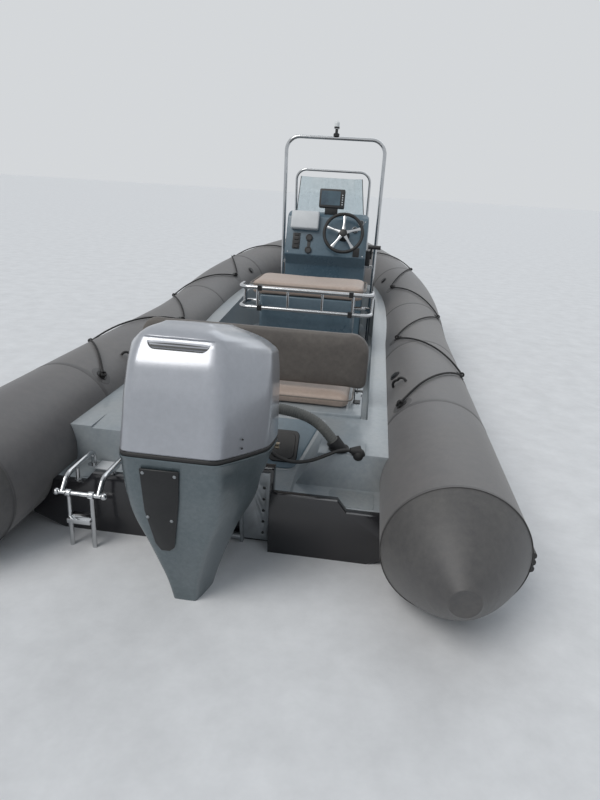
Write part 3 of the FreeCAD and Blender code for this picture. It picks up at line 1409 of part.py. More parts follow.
def line_pass(corner):
    """Where the grab line passes a corner of its route, and which way it runs there."""
    if corner == 0:
        return line_route[0], (line_route[1] - line_route[0]).normalize()
    if corner == len(line_route) - 1:
        return line_route[-1], (line_route[-1] - line_route[-2]).normalize()
    into = (line_route[corner] - line_route[corner - 1]).normalize()
    out = (line_route[corner + 1] - line_route[corner]).normalize()
    radius = line_radii[corner - 1]
    sink = radius / math.cos(into.getAngle(out) / 2) - radius
    return line_route[corner] + (out - into).normalize() * sink, (into + out).normalize()


def eyelet(index):
    """A bonded patch with an upright ring that the grab line runs through."""
    middle, way = line_pass(index * LINE_STEPS)
    centre, out, up = tube_frame(EYELETS[index][0])
    forward = out.cross(up).normalize()
    normal = middle - centre
    normal = (normal - forward * normal.dot(forward)).normalize()
    root = middle - normal * ((middle - centre).dot(normal) - size("tube_radius") + PATCH_ROOT)
    patch = Part.makeCylinder(30, PATCH_ROOT + PATCH_THICK, root, normal).cut(BOND_TUBES[0])
    ring = Part.makeCylinder(16, 8, middle - way * 4, way)
    hole = Part.makeCylinder(size("line_radius") + size("bond_gap"), 30, middle - way * 15, way)
    return patch.fuse(ring.cut(BOND_TUBES[0])).cut(hole)


eyelets = [eyelet(index) for index in range(len(EYELETS))]
solid("line_eyelets", Part.makeCompound(eyelets + [mirrored(shape) for shape in eyelets]))


def valve(run):
    """Inflation valve on the inboard side of a tube."""
    foot = on_tube(run, 138, size("tube_radius") - 10)
    head = on_tube(run, 138, size("tube_radius") + 9)
    made = Part.makeCylinder(34, 14, foot, head - foot).cut(BOND_TUBES[0])
    cap = Part.makeCylinder(24, 9, head - (head - foot).normalize() * 6, head - foot)
    return made.fuse(cap.cut(BOND_TUBES[0])).removeSplitter()


valves = [valve(1250), valve(4150)]
solid("inflation_valves", Part.makeCompound(valves + [mirrored(shape) for shape in valves]))


# Rigging hose and steering lines, from the bench moulding to the engine.

def moulding_top(station):
    """Height of the bench moulding beside the splash well."""
    aft = size("bulkhead_aft") - 10
    rise = (size("bench_moulding_high") - size("bench_moulding_low")) / (size("cockpit_aft") - aft)
    return size("bench_moulding_low") + (station - aft) * rise


FLANGE = V(512, 270, moulding_top(270))
COLLAR_WAY = V(-0.62, -0.05, 0.78).normalize()
HOSE_START = FLANGE + V(0, 0, 4) + COLLAR_WAY * 46
HOSE_POINTS = (
    HOSE_START, HOSE_START + COLLAR_WAY * 42, V(421, 268, 511), V(378, 273, 536), V(325, 280, 551),
    V(256, 290, 559), V(186, 296, 561), V(118, 294, 560), V(54, 281, 558), V(-6, 256, 556), V(-58, 219, 553),
    V(-100, 172, 550),
)
HOSE_END_WAY = (HOSE_POINTS[-1] - HOSE_POINTS[-2]).normalize()
BOOT_FOOT = V(-112, 50, 545)
BOOT_FOOT_WAY = V(-0.16, -1, -0.06)
BOOT_FOOT_RADIUS = 36


def hose_flange():
    """Bolted flange on the moulding with a leaning collar."""
    base = Part.makeCylinder(46, 30, FLANGE - V(0, 0, 20))
    collar = Part.makeCylinder(size("hose_radius") + 8, 66, HOSE_START - COLLAR_WAY * 66, COLLAR_WAY)
    screws = [
        Part.makeCylinder(5, 4, FLANGE + V(38 * math.cos(a), 38 * math.sin(a), 9))
        for a in (math.radians(60 * index + 30) for index in range(6))]
    return base.fuse([collar] + screws).cut(deck_liner.Shape)


flange_shape = hose_flange()
solid("hose_flange", max(flange_shape.Solids, key=lambda piece: piece.Volume))
hose_radii = cord_radii(HOSE_POINTS)
print("rigging hose arc radii", [round(radius) for radius in hose_radii])
solid("rigging_hose", pipe(HOSE_POINTS, hose_radii, size("hose_radius")))

hose_boot = Part.makeLoft([
    Part.Wire(Part.makeCircle(size("hose_radius") + 3, HOSE_POINTS[-1], HOSE_END_WAY)),
    Part.Wire(Part.makeCircle(BOOT_FOOT_RADIUS, BOOT_FOOT, BOOT_FOOT_WAY))], True, True)
hose_boot = hose_boot.cut([cover, apron, seal])
solid("hose_boot", max(hose_boot.Solids, key=lambda piece: piece.Volume))

BOOT = V(602, 236, moulding_top(236))
BOOT_WAY = V(-0.92, -0.28, 0.12).normalize()
CABLE_POINTS = (
    BOOT + V(0, 0, 16) + BOOT_WAY * 40, BOOT + V(0, 0, 16) + BOOT_WAY * 84, V(462, 190, 402), V(392, 170, 374),
    V(318, 158, 366), V(254, 146, 390), HELM_LINE_END + ELBOW_WAY * 50, HELM_LINE_END,
)


def cable_boot():
    """Rubber boot that the steering lines leave the moulding through."""
    base = Part.makeSphere(30, BOOT)
    snout = Part.makeCone(26, size("cable_radius") + 3, 44, CABLE_POINTS[0] - BOOT_WAY * 44, BOOT_WAY)
    return base.fuse(snout).cut([deck_liner.Shape, hull.Shape] + BOND_TUBES)


boot_shape = cable_boot()
solid("cable_boot", max(boot_shape.Solids, key=lambda piece: piece.Volume))
cable_arcs = cord_radii(CABLE_POINTS)
print("steering line arc radii", [round(radius) for radius in cable_arcs])
solid("steering_lines", pipe(CABLE_POINTS, cable_arcs, size("cable_radius")))


# Deck hardware: bow cleat and bow eye.

def bow_cleat():
    """Horn cleat on the locker deck, on two feet."""
    foot_y = size("locker_length") + 2 * size("locker_wall") + 40
    horn = Part.makeCylinder(9, 200, V(0, foot_y - 100, 34), Y_AXIS)
    feet = [Part.makeCone(17, 11, 36, V(0, foot_y + y, 0)) for y in (-34, 34)]
    return on_locker(horn.fuse(feet).removeSplitter())


solid("bow_cleat", bow_cleat())

BOW_EYE = V(0, 5606, 296)
eye_plate = side_plate(
    [(5470, 330), (5596, 320), (5630, 300), (5620, 272), (5590, 268), (5420, 260)], -6, 12)
eye_plate = eye_plate.cut([Part.makeCylinder(14, 40, BOW_EYE - V(20, 0, 0), X_AXIS), hull.Shape])
solid("bow_eye", max(eye_plate.Solids, key=lambda piece: piece.Volume))


# Every object is checked before anything is written.

doc.recompute()
for item in doc.Objects:
    if "Invalid" in item.State or "Error" in item.State:
        raise RuntimeError(f"{item.Label} failed: {item.State}")
for piece in nodes:
    if piece.Shape.isNull() or not piece.Shape.isValid():
        raise RuntimeError(f"{piece.Label} has no sound shape")
for piece in nodes:
    piece.Shape.exportStep(f"parts/{piece.Label}.step")
    print(f"{piece.Label}: {len(piece.Shape.Solids)} solids, {piece.Shape.Volume / 1e6:.3f} litres")
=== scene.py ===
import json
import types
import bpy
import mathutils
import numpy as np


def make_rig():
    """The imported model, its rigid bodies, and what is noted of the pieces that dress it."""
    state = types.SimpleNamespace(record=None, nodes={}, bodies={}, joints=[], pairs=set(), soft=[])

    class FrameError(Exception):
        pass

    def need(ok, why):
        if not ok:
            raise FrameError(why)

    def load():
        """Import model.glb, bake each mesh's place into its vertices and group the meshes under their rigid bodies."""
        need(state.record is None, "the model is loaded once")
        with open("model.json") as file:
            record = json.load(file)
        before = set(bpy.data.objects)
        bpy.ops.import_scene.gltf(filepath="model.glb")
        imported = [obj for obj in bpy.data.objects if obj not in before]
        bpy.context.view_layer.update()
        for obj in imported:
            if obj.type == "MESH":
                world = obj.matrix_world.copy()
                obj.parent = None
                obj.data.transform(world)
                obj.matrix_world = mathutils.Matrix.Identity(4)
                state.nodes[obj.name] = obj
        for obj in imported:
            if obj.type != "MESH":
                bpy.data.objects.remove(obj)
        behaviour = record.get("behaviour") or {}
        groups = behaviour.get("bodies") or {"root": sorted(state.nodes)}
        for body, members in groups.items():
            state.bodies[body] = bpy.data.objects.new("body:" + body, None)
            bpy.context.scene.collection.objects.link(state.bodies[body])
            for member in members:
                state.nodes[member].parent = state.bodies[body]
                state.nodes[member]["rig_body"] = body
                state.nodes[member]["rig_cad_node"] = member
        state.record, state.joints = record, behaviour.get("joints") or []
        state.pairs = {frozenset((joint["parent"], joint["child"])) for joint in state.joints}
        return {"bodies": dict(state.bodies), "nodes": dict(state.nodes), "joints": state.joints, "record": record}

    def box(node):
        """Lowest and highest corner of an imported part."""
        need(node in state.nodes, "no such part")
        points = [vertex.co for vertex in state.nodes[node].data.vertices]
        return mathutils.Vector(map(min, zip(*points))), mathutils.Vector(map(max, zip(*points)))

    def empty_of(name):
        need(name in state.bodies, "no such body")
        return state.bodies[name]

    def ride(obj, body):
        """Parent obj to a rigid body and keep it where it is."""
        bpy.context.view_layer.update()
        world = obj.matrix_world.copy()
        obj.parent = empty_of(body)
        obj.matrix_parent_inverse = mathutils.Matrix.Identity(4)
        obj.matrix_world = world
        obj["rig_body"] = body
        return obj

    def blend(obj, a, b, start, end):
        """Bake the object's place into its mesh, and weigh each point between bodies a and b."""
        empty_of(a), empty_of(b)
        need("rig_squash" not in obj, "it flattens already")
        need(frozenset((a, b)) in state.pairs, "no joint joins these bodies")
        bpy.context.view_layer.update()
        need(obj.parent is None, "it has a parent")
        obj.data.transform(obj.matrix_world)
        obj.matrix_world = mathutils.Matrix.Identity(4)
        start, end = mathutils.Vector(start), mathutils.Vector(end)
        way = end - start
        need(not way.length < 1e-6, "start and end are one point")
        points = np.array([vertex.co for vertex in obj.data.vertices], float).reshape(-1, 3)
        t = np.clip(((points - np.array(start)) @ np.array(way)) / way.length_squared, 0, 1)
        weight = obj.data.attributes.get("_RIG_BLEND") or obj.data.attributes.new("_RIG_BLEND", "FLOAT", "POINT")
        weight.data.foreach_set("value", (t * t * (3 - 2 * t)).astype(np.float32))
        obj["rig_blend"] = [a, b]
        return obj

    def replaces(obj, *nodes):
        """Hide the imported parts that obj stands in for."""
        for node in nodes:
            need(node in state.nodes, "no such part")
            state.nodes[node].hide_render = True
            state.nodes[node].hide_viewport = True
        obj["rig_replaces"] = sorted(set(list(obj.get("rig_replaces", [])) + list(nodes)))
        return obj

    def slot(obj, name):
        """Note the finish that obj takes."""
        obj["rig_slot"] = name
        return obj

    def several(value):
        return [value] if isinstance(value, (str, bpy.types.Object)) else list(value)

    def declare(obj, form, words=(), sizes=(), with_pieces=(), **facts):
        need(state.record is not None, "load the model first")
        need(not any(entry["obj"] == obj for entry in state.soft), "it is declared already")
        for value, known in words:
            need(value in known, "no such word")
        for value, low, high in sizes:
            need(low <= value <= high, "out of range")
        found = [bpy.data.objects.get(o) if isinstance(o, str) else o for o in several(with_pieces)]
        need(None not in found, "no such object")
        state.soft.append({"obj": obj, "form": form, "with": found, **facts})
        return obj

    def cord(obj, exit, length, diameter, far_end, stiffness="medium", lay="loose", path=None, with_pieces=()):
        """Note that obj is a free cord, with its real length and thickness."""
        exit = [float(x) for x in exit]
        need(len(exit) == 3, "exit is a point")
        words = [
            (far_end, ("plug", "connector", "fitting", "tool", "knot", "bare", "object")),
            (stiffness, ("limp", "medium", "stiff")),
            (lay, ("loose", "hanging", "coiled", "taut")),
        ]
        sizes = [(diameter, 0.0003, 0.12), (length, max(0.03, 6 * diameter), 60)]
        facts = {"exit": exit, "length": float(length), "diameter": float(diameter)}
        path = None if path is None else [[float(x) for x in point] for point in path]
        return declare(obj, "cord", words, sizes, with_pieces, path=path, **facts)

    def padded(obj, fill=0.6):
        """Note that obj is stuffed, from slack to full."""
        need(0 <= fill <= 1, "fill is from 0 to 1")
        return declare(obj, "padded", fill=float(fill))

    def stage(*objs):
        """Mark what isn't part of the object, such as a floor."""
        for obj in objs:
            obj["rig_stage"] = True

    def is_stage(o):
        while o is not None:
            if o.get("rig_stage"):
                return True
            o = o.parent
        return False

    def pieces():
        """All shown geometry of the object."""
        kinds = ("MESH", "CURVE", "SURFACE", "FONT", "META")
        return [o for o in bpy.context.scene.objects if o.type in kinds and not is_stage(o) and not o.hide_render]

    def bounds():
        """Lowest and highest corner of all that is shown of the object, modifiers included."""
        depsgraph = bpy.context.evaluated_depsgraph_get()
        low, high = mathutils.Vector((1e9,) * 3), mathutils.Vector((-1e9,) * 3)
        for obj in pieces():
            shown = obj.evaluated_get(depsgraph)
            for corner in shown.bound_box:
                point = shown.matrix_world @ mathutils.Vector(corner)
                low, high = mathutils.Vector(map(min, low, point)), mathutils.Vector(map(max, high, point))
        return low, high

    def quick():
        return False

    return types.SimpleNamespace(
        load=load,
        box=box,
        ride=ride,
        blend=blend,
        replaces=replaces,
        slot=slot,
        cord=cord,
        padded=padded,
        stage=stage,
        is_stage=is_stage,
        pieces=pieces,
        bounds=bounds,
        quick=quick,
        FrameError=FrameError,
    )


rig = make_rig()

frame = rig.load()

import json
import logging
from dataclasses import dataclass
from enum import Enum
from math import asin, atan2, cos, degrees, inf, pi, radians, sin, tan
from typing import Callable, Optional, Sequence

import bmesh
import bpy
from mathutils import Matrix, Vector

# Looks of a rigid inflatable boat with one outboard engine, afloat, in metres.
# +X is to starboard, +Y to the bow, +Z up, and the waterline is at z = 0.

log = logging.getLogger("boat")
logging.basicConfig(level=logging.INFO, format="%(name)s: %(message)s")
CAD_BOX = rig.bounds()
UP = Vector((0, 0, 1))
OUT = Vector((1, 0, 0))
AHEAD = Vector((0, 1, 0))
Colour = tuple[float, float, float]
Row = tuple[float, ...]
Pair = tuple[float, float]
Skin = tuple[list[Vector], list[list[int]]]
Piece = bpy.types.Object
Node = bpy.types.Node
Socket = bpy.types.NodeSocket
Tree = bpy.types.NodeTree
BUMP_STRENGTH = 0.8
COAT_ROUGHNESS = 0.12
ACRYLIC_IOR = 1.49
MERGE_WITHIN = 2e-5


class Pattern(Enum):
    """Surface relief of a finish."""

    WEAVE = "weave"
    LEATHER = "leather"
    MOULDED = "moulded"
    CAST = "cast"
    BRUSHED = "brushed"
    FLAKE = "flake"
    GRIP = "grip"
    BRAID = "braid"


@dataclass(frozen=True)
class Finish:
    """One finish: its colours as seen, 0 to 255, its gloss and its relief."""

    name: str
    slot: str
    tone: Colour
    worn: Colour
    pattern: Pattern
    rough: float = 0.5
    spread: float = 0.12
    metal: float = 0.0
    grain: float = 400.0
    depth: float = 0.0002
    stain: float = 2.0
    amount: float = 0.5
    coat: float = 0.0
    sheen: float = 0.0
    clear: float = 0.0


TUBE = Finish("coated_fabric", "tube", (96, 94, 95), (116, 112, 108), Pattern.WEAVE, 0.52, 0.16,
              grain=700, depth=0.00022, stain=1.3, amount=0.55, sheen=0.15)
# Cone ends: the tubes' coated fabric painted darker, a painted shade for the cones that face aft and down.
SHADED_CONE_FABRIC = Finish("cone_fabric_painted_shade", "tube", (76, 75, 76), (98, 96, 93), Pattern.WEAVE, 0.46, 0.18,
              grain=700, depth=0.00022, stain=2.2, amount=0.6, sheen=0.1)
SEAM = Finish("seam_tape", "tube", (84, 83, 84), (104, 101, 99), Pattern.WEAVE, 0.5, 0.15, grain=500)
STRAKE = Finish("strake_rubber", "strake", (34, 34, 36), (66, 64, 62), Pattern.MOULDED, 0.5, 0.2, grain=160)
HULL = Finish("black_gelcoat", "hull", (24, 25, 30), (50, 46, 46), Pattern.MOULDED, 0.2, 0.12,
              grain=60, depth=0.00008, stain=3, amount=0.45, coat=0.5)
LINER = Finish("deck_gelcoat", "liner", (148, 157, 163), (168, 168, 166), Pattern.MOULDED, 0.34, 0.15,
               grain=55, depth=0.0001, stain=2.4, amount=0.5, coat=0.25)
GRIP = Finish("deck_grip", "liner", (136, 145, 151), (158, 158, 155), Pattern.GRIP, 0.6, 0.15,
              grain=150, depth=0.0009, stain=3, amount=0.55)
TEAL = Finish("blue_grey_gelcoat", "console", (84, 106, 120), (106, 124, 134), Pattern.MOULDED, 0.3, 0.14,
              grain=60, depth=0.0001, stain=2.6, amount=0.5, coat=0.3)
VINYL = Finish("seat_vinyl", "cushion", (176, 158, 146), (196, 178, 166), Pattern.LEATHER, 0.5, 0.14,
               grain=420, depth=0.0004, stain=3.2, amount=0.5, sheen=0.1)
DARK_VINYL = Finish("backrest_vinyl", "cushion", (92, 87, 83), (122, 116, 110), Pattern.LEATHER, 0.55, 0.14,
                    grain=420, depth=0.0004, stain=2.4, amount=0.5, sheen=0.1)
PIPING = Finish("seat_piping", "cushion", (118, 110, 103), (140, 132, 124), Pattern.LEATHER, 0.5, grain=500)
STEEL = Finish("polished_steel", "stainless", (202, 204, 206), (168, 170, 172), Pattern.BRUSHED, 0.16, 0.14,
               metal=1.0, grain=260, depth=0.00003, stain=9, amount=0.5)
PLASTIC = Finish("moulded_plastic", "black_plastic", (30, 31, 33), (52, 52, 52), Pattern.MOULDED, 0.46, 0.14,
                 grain=500, depth=0.00015, stain=9)
DARK_PLASTIC = Finish("black_moulding", "black_plastic", (17, 18, 20), (40, 41, 42), Pattern.MOULDED,
                      0.4, 0.12, grain=500, depth=0.0001, stain=7)
WHITE = Finish("white_cover", "cover_white", (216, 219, 222), (196, 198, 198), Pattern.MOULDED, 0.4, 0.12,
               grain=300, depth=0.0001, stain=8)
SCREEN = Finish("clear_acrylic", "screen", (214, 226, 230), (230, 236, 238), Pattern.MOULDED, 0.06, 0.06,
                grain=30, depth=0.00003, clear=1.0)
COWL = Finish("silver_paint", "cowl", (172, 175, 182), (150, 153, 158), Pattern.FLAKE, 0.3, 0.08,
              metal=0.45, grain=1500, depth=0.00003, stain=2.5, amount=0.35, coat=0.7)
LEG = Finish("grey_paint", "cowl", (92, 104, 109), (122, 130, 133), Pattern.FLAKE, 0.34, 0.12,
             metal=0.4, grain=1500, depth=0.00003, stain=3.5, amount=0.5, coat=0.5)
CASTING = Finish("painted_casting", "aluminium", (158, 163, 167), (112, 112, 110), Pattern.CAST, 0.42, 0.16,
                 metal=0.5, grain=220, depth=0.0004, stain=11)
BLOCK = Finish("engine_casting", "engine_block", (66, 67, 68), (96, 95, 92), Pattern.CAST, 0.6,
               metal=0.6, grain=160)
BRASS_STEEL = Finish("stained_steel", "stainless", (150, 140, 124), (112, 96, 78), Pattern.BRUSHED, 0.28, 0.2,
                     metal=1.0, grain=200, depth=0.00005, stain=14)
PROP = Finish("propeller_paint", "propeller", (52, 53, 56), (98, 97, 94), Pattern.CAST, 0.35,
              metal=0.5, stain=12)
ROPE = Finish("braided_rope", "rope", (24, 24, 26), (58, 56, 54), Pattern.BRAID, 0.75,
              grain=420, depth=0.0006, stain=6)
HOSE = Finish("ribbed_conduit", "hose", (92, 94, 92), (124, 123, 118), Pattern.MOULDED, 0.55, 0.15,
              grain=350, depth=0.0001, stain=10)
RUBBER = Finish("soft_rubber", "rubber", (24, 24, 25), (50, 49, 48), Pattern.MOULDED, 0.55, 0.15,
                grain=350, stain=9)
LENS = Finish("lamp_lens", "lens", (232, 235, 236), (214, 216, 214), Pattern.MOULDED, 0.2,
              grain=120, depth=0.00008)
DIAL = Finish("instrument_glass", "black_plastic", (20, 26, 32), (44, 56, 64), Pattern.MOULDED, 0.12, 0.06,
              grain=40, depth=0.00002, stain=14, coat=0.8)
DISPLAY = Finish("plotter_glass", "screen", (40, 62, 78), (84, 112, 124), Pattern.MOULDED, 0.1, 0.05,
                 grain=30, depth=0.00002, stain=9, amount=0.8, coat=0.8)


def linear(tone: Colour) -> tuple[float, float, float, float]:
    """Turn a colour as seen, 0 to 255, into the linear colour of a shader socket."""
    parts = [value / 255 for value in tone]
    return (*(part / 12.92 if part <= 0.04045 else ((part + 0.055) / 1.055) ** 2.4 for part in parts), 1.0)


def feed(node: Node, inputs: dict) -> Node:
    """Give a node's inputs, by name or number, their values or links."""
    for key, value in inputs.items():
        if isinstance(value, Socket):
            node.id_data.links.new(value, node.inputs[key])
        else:
            node.inputs[key].default_value = value
    return node


def add_node(tree: Tree, kind: str, inputs: Optional[dict] = None, **settings: object) -> Node:
    """Add a node to a tree.

    Args:
        tree: The tree.
        kind: Blender's name of the node's type.
        inputs: Values or output sockets for its inputs, by name or number.
        settings: Properties of the node.

    Returns:
        The node.
    """
    made = tree.nodes.new(kind)
    for key, value in settings.items():
        setattr(made, key, value)
    return feed(made, inputs or {})


class TreeKit:
    """Builds one node tree with named inputs and outputs."""

    def __init__(self, name: str, inputs: Sequence[tuple[str, str, object]],
                 outputs: Sequence[tuple[str, str]], kind: str = "ShaderNodeTree") -> None:
        """Start a tree.

        Args:
            name: Name of the tree.
            inputs: Socket name, kind and default value of each input.
            outputs: Socket name and kind of each output.
            kind: Blender's name of the tree's type.
        """
        self.tree = bpy.data.node_groups.new(name, kind)
        for label, socket_kind, value in inputs:
            socket = self.tree.interface.new_socket(
                label, in_out="INPUT", socket_type=f"NodeSocket{socket_kind}")
            if value is not None:
                socket.default_value = value
        for label, socket_kind in outputs:
            self.tree.interface.new_socket(label, in_out="OUTPUT", socket_type=f"NodeSocket{socket_kind}")
        self.source = self.node("NodeGroupInput").outputs
        self.sink = self.node("NodeGroupOutput")

    def node(self, kind: str, inputs: Optional[dict] = None, **settings: object) -> Node:
        """Add a node, as add_node does."""
        return add_node(self.tree, kind, inputs, **settings)

    def math(self, operation: str, *values: object) -> Socket:
        """A math node's result."""
        return self.node("ShaderNodeMath", dict(enumerate(values)), operation=operation).outputs[0]

    def times(self, first: object, second: object) -> Socket:
        """The product of two values."""
        return self.math("MULTIPLY", first, second)

    def plus(self, first: object, second: object) -> Socket:
        """The sum of two values."""
        return self.math("ADD", first, second)

    def noise(self, vector: object, scale: object, detail: float, **more: float) -> Socket:
        """A noise texture's value."""
        inputs = {"Vector": vector, "Scale": scale, "Detail": detail, **more}
        return self.node("ShaderNodeTexNoise", inputs).outputs["Fac"]

    def ramp(self, value: object, low: float, high: float, start: float = 0.0, end: float = 1.0) -> Socket:
        """A value carried from one range to another, held at its ends."""
        inputs = {"Value": value, "From Min": low, "From Max": high, "To Min": start, "To Max": end}
        return self.node("ShaderNodeMapRange", inputs).outputs["Result"]


def wear_group() -> Tree:
    """Broad stains, fine mottling and a gloss that varies with them."""
    kit = TreeKit("wear_and_stain", [
        ("Vector", "Vector", None),
        ("Tone", "Color", (0.5, 0.5, 0.5, 1)), ("Worn", "Color", (0.6, 0.6, 0.6, 1)),
        ("Scale", "Float", 2.0), ("Amount", "Float", 0.5), ("Rough", "Float", 0.5), ("Spread", "Float", 0.1),
    ], [("Colour", "Color"), ("Roughness", "Float")])
    source = kit.source
    broad = kit.noise(source["Vector"], source["Scale"], 5.0, Roughness=0.62, Distortion=0.4)
    fine = kit.noise(source["Vector"], kit.times(source["Scale"], 17.0), 4.0, Roughness=0.7)
    mixed = kit.plus(kit.times(broad, 0.7), kit.times(fine, 0.3))
    share = kit.times(kit.ramp(mixed, 0.38, 0.66), source["Amount"])
    mix = {"Factor": share, "A": source["Tone"], "B": source["Worn"]}
    colour = kit.node("ShaderNodeMix", mix, data_type="RGBA").outputs["Result"]
    speck = kit.ramp(fine, 0.3, 0.7, 0.93, 1.06)
    toned = kit.node("ShaderNodeVectorMath", {0: colour, "Scale": speck}, operation="SCALE")
    varied = kit.plus(source["Rough"], kit.times(source["Spread"], kit.math("SUBTRACT", mixed, 0.5)))
    feed(kit.sink, {"Colour": toned.outputs["Vector"], "Roughness": kit.math("MAXIMUM", varied, 0.02)})
    return kit.tree


def relief_group(pattern: Pattern) -> Tree:
    """Height of one surface relief, from 0 to 1.

    Args:
        pattern: Which relief.

    Returns:
        The node group.
    """
    kit = TreeKit(f"relief_{pattern.value}", [("Vector", "Vector", None), ("Scale", "Float", 300.0)],
                  [("Height", "Float")])
    vector, scale = kit.source["Vector"], kit.source["Scale"]

    def texture(kind: str, output: str, inputs: Optional[dict] = None, **settings: str) -> Socket:
        """A texture's value, at the group's vector and scale."""
        inputs = {"Vector": vector, "Scale": scale, **(inputs or {})}
        return kit.node(kind, inputs, **settings).outputs[output]

    if pattern is Pattern.WEAVE:
        woven = {"Distortion": 0.6, "Detail": 1.0}
        threads = [texture("ShaderNodeTexWave", "Fac", woven, bands_direction=way) for way in "XYZ"]
        weave = kit.times(kit.plus(kit.plus(threads[0], threads[1]), threads[2]), 0.33)
        height = kit.plus(kit.times(weave, 0.5), kit.times(kit.noise(vector, 9.0, 5.0), 2.5))
    elif pattern is Pattern.LEATHER:
        cells = texture("ShaderNodeTexVoronoi", "Distance", feature="SMOOTH_F1")
        height = kit.plus(cells, kit.times(kit.noise(vector, scale, 3.0), 0.4))
    elif pattern is Pattern.GRIP:
        height = kit.ramp(texture("ShaderNodeTexVoronoi", "Distance", feature="F1"), 0.25, 0.55, 1.0, 0.0)
    elif pattern is Pattern.CAST:
        height = kit.math("POWER", kit.noise(vector, scale, 6.0, Roughness=0.8), 1.4)
    elif pattern is Pattern.BRUSHED:
        drawn = texture("ShaderNodeMapping", "Vector", {"Scale": (1.0, 0.05, 0.05)})
        height = kit.noise(drawn, scale, 6.0)
    elif pattern is Pattern.BRAID:
        turned = texture("ShaderNodeMapping", "Vector", {"Rotation": (0.6, 0.5, 0.8), "Scale": (1, 1, 1)})
        strands = texture("ShaderNodeTexWave", "Fac", {"Vector": turned, "Distortion": 1.5})
        height = kit.plus(strands, kit.times(kit.noise(vector, scale, 3.0), 0.5))
    else:
        broad = kit.noise(vector, kit.times(scale, 0.12), 2.0)
        height = kit.plus(kit.noise(vector, scale, 3.0), kit.times(broad, 1.2))
    feed(kit.sink, {"Height": height})
    return kit.tree


class Paints:
    """Makes each finish's material once, from the shared node groups."""

    def __init__(self) -> None:
        """Start with no materials."""
        self.made: dict[str, bpy.types.Material] = {}
        self.groups: dict[str, Tree] = {}

    def group(self, name: str, build: Callable[[], Tree]) -> Tree:
        """A shared group, built the first time that it is asked for."""
        if name not in self.groups:
            self.groups[name] = build()
        return self.groups[name]

    def of(self, finish: Finish) -> bpy.types.Material:
        """The material of a finish.

        Args:
            finish: The finish.

        Returns:
            Its material, the same one each time.
        """
        if finish.name in self.made:
            return self.made[finish.name]
        material = bpy.data.materials.new(finish.name)
        material.use_nodes = True
        tree = material.node_tree
        place = add_node(tree, "ShaderNodeTexCoord").outputs["Object"]
        wear = add_node(tree, "ShaderNodeGroup", node_tree=self.group("wear", wear_group))
        feed(wear, {"Vector": place, "Tone": linear(finish.tone), "Worn": linear(finish.worn),
                    "Scale": finish.stain, "Amount": finish.amount, "Rough": finish.rough,
                    "Spread": finish.spread * 2})
        relief = add_node(tree, "ShaderNodeGroup", node_tree=self.group(
            finish.pattern.value, lambda: relief_group(finish.pattern)))
        feed(relief, {"Vector": place, "Scale": finish.grain})
        bump = add_node(tree, "ShaderNodeBump", {
            "Height": relief.outputs["Height"], "Distance": finish.depth, "Strength": BUMP_STRENGTH})
        shader = feed(tree.nodes["Principled BSDF"], {
            "Normal": bump.outputs["Normal"], "Base Color": wear.outputs["Colour"],
            "Roughness": wear.outputs["Roughness"], "Metallic": finish.metal,
            "Coat Weight": finish.coat, "Coat Roughness": COAT_ROUGHNESS,
            "Sheen Weight": finish.sheen, "Transmission Weight": finish.clear})
        if finish.clear:
            shader.inputs["IOR"].default_value = ACRYLIC_IOR
        material.diffuse_color = linear(finish.tone)
        self.made[finish.name] = material
        return material


PAINTS = Paints()


class Repeat(Enum):
    """Small part that a node tree sets on points."""

    SCREW = "screws"
    BAR = "bars"


def repeat_tree(kind: Repeat, finish: Finish) -> Tree:
    """Node tree that sets one small part on each point, turned to the point's way.

    Args:
        kind: What the part is.
        finish: Its finish.

    Returns:
        A tree with the inputs Radius, Depth and Length.
    """
    kit = TreeKit(f"{kind.value}_on_points", [("Geometry", "Geometry", None), *(
        (label, "Float", None) for label in ("Radius", "Depth", "Length"))], [("Geometry", "Geometry")],
        "GeometryNodeTree")
    size = kit.source
    joined = kit.node("GeometryNodeJoinGeometry")
    if kind is Repeat.SCREW:
        for base, top, deep in ((1.0, 0.92, 0.35), (0.8, 0.62, 1.0)):
            cone = kit.node("GeometryNodeMeshCone", {
                "Vertices": 16, "Radius Bottom": kit.times(size["Radius"], base),
                "Radius Top": kit.times(size["Radius"], top), "Depth": kit.times(size["Depth"], deep)})
            feed(joined, {"Geometry": cone.outputs["Mesh"]})
    else:
        sizes = kit.node("ShaderNodeCombineXYZ", {
            "X": size["Length"], "Y": size["Radius"], "Z": size["Depth"]})
        cube = kit.node("GeometryNodeMeshCube", {"Size": sizes.outputs["Vector"]})
        feed(joined, {"Geometry": cube.outputs["Mesh"]})
    way = kit.node("GeometryNodeInputNamedAttribute", {"Name": "way"}, data_type="FLOAT_VECTOR")
    turn = kit.node("FunctionNodeAlignRotationToVector", {"Vector": way.outputs["Attribute"]}, axis="Z")
    place = kit.node("GeometryNodeInstanceOnPoints", {
        "Points": size["Geometry"], "Instance": joined.outputs["Geometry"],
        "Rotation": turn.outputs["Rotation"]})
    real = kit.node("GeometryNodeRealizeInstances", {"Geometry": place.outputs["Instances"]})
    paint = kit.node("GeometryNodeSetMaterial", {
        "Geometry": real.outputs["Geometry"], "Material": PAINTS.of(finish)})
    feed(kit.sink, {"Geometry": paint.outputs["Geometry"]})
    return kit.tree


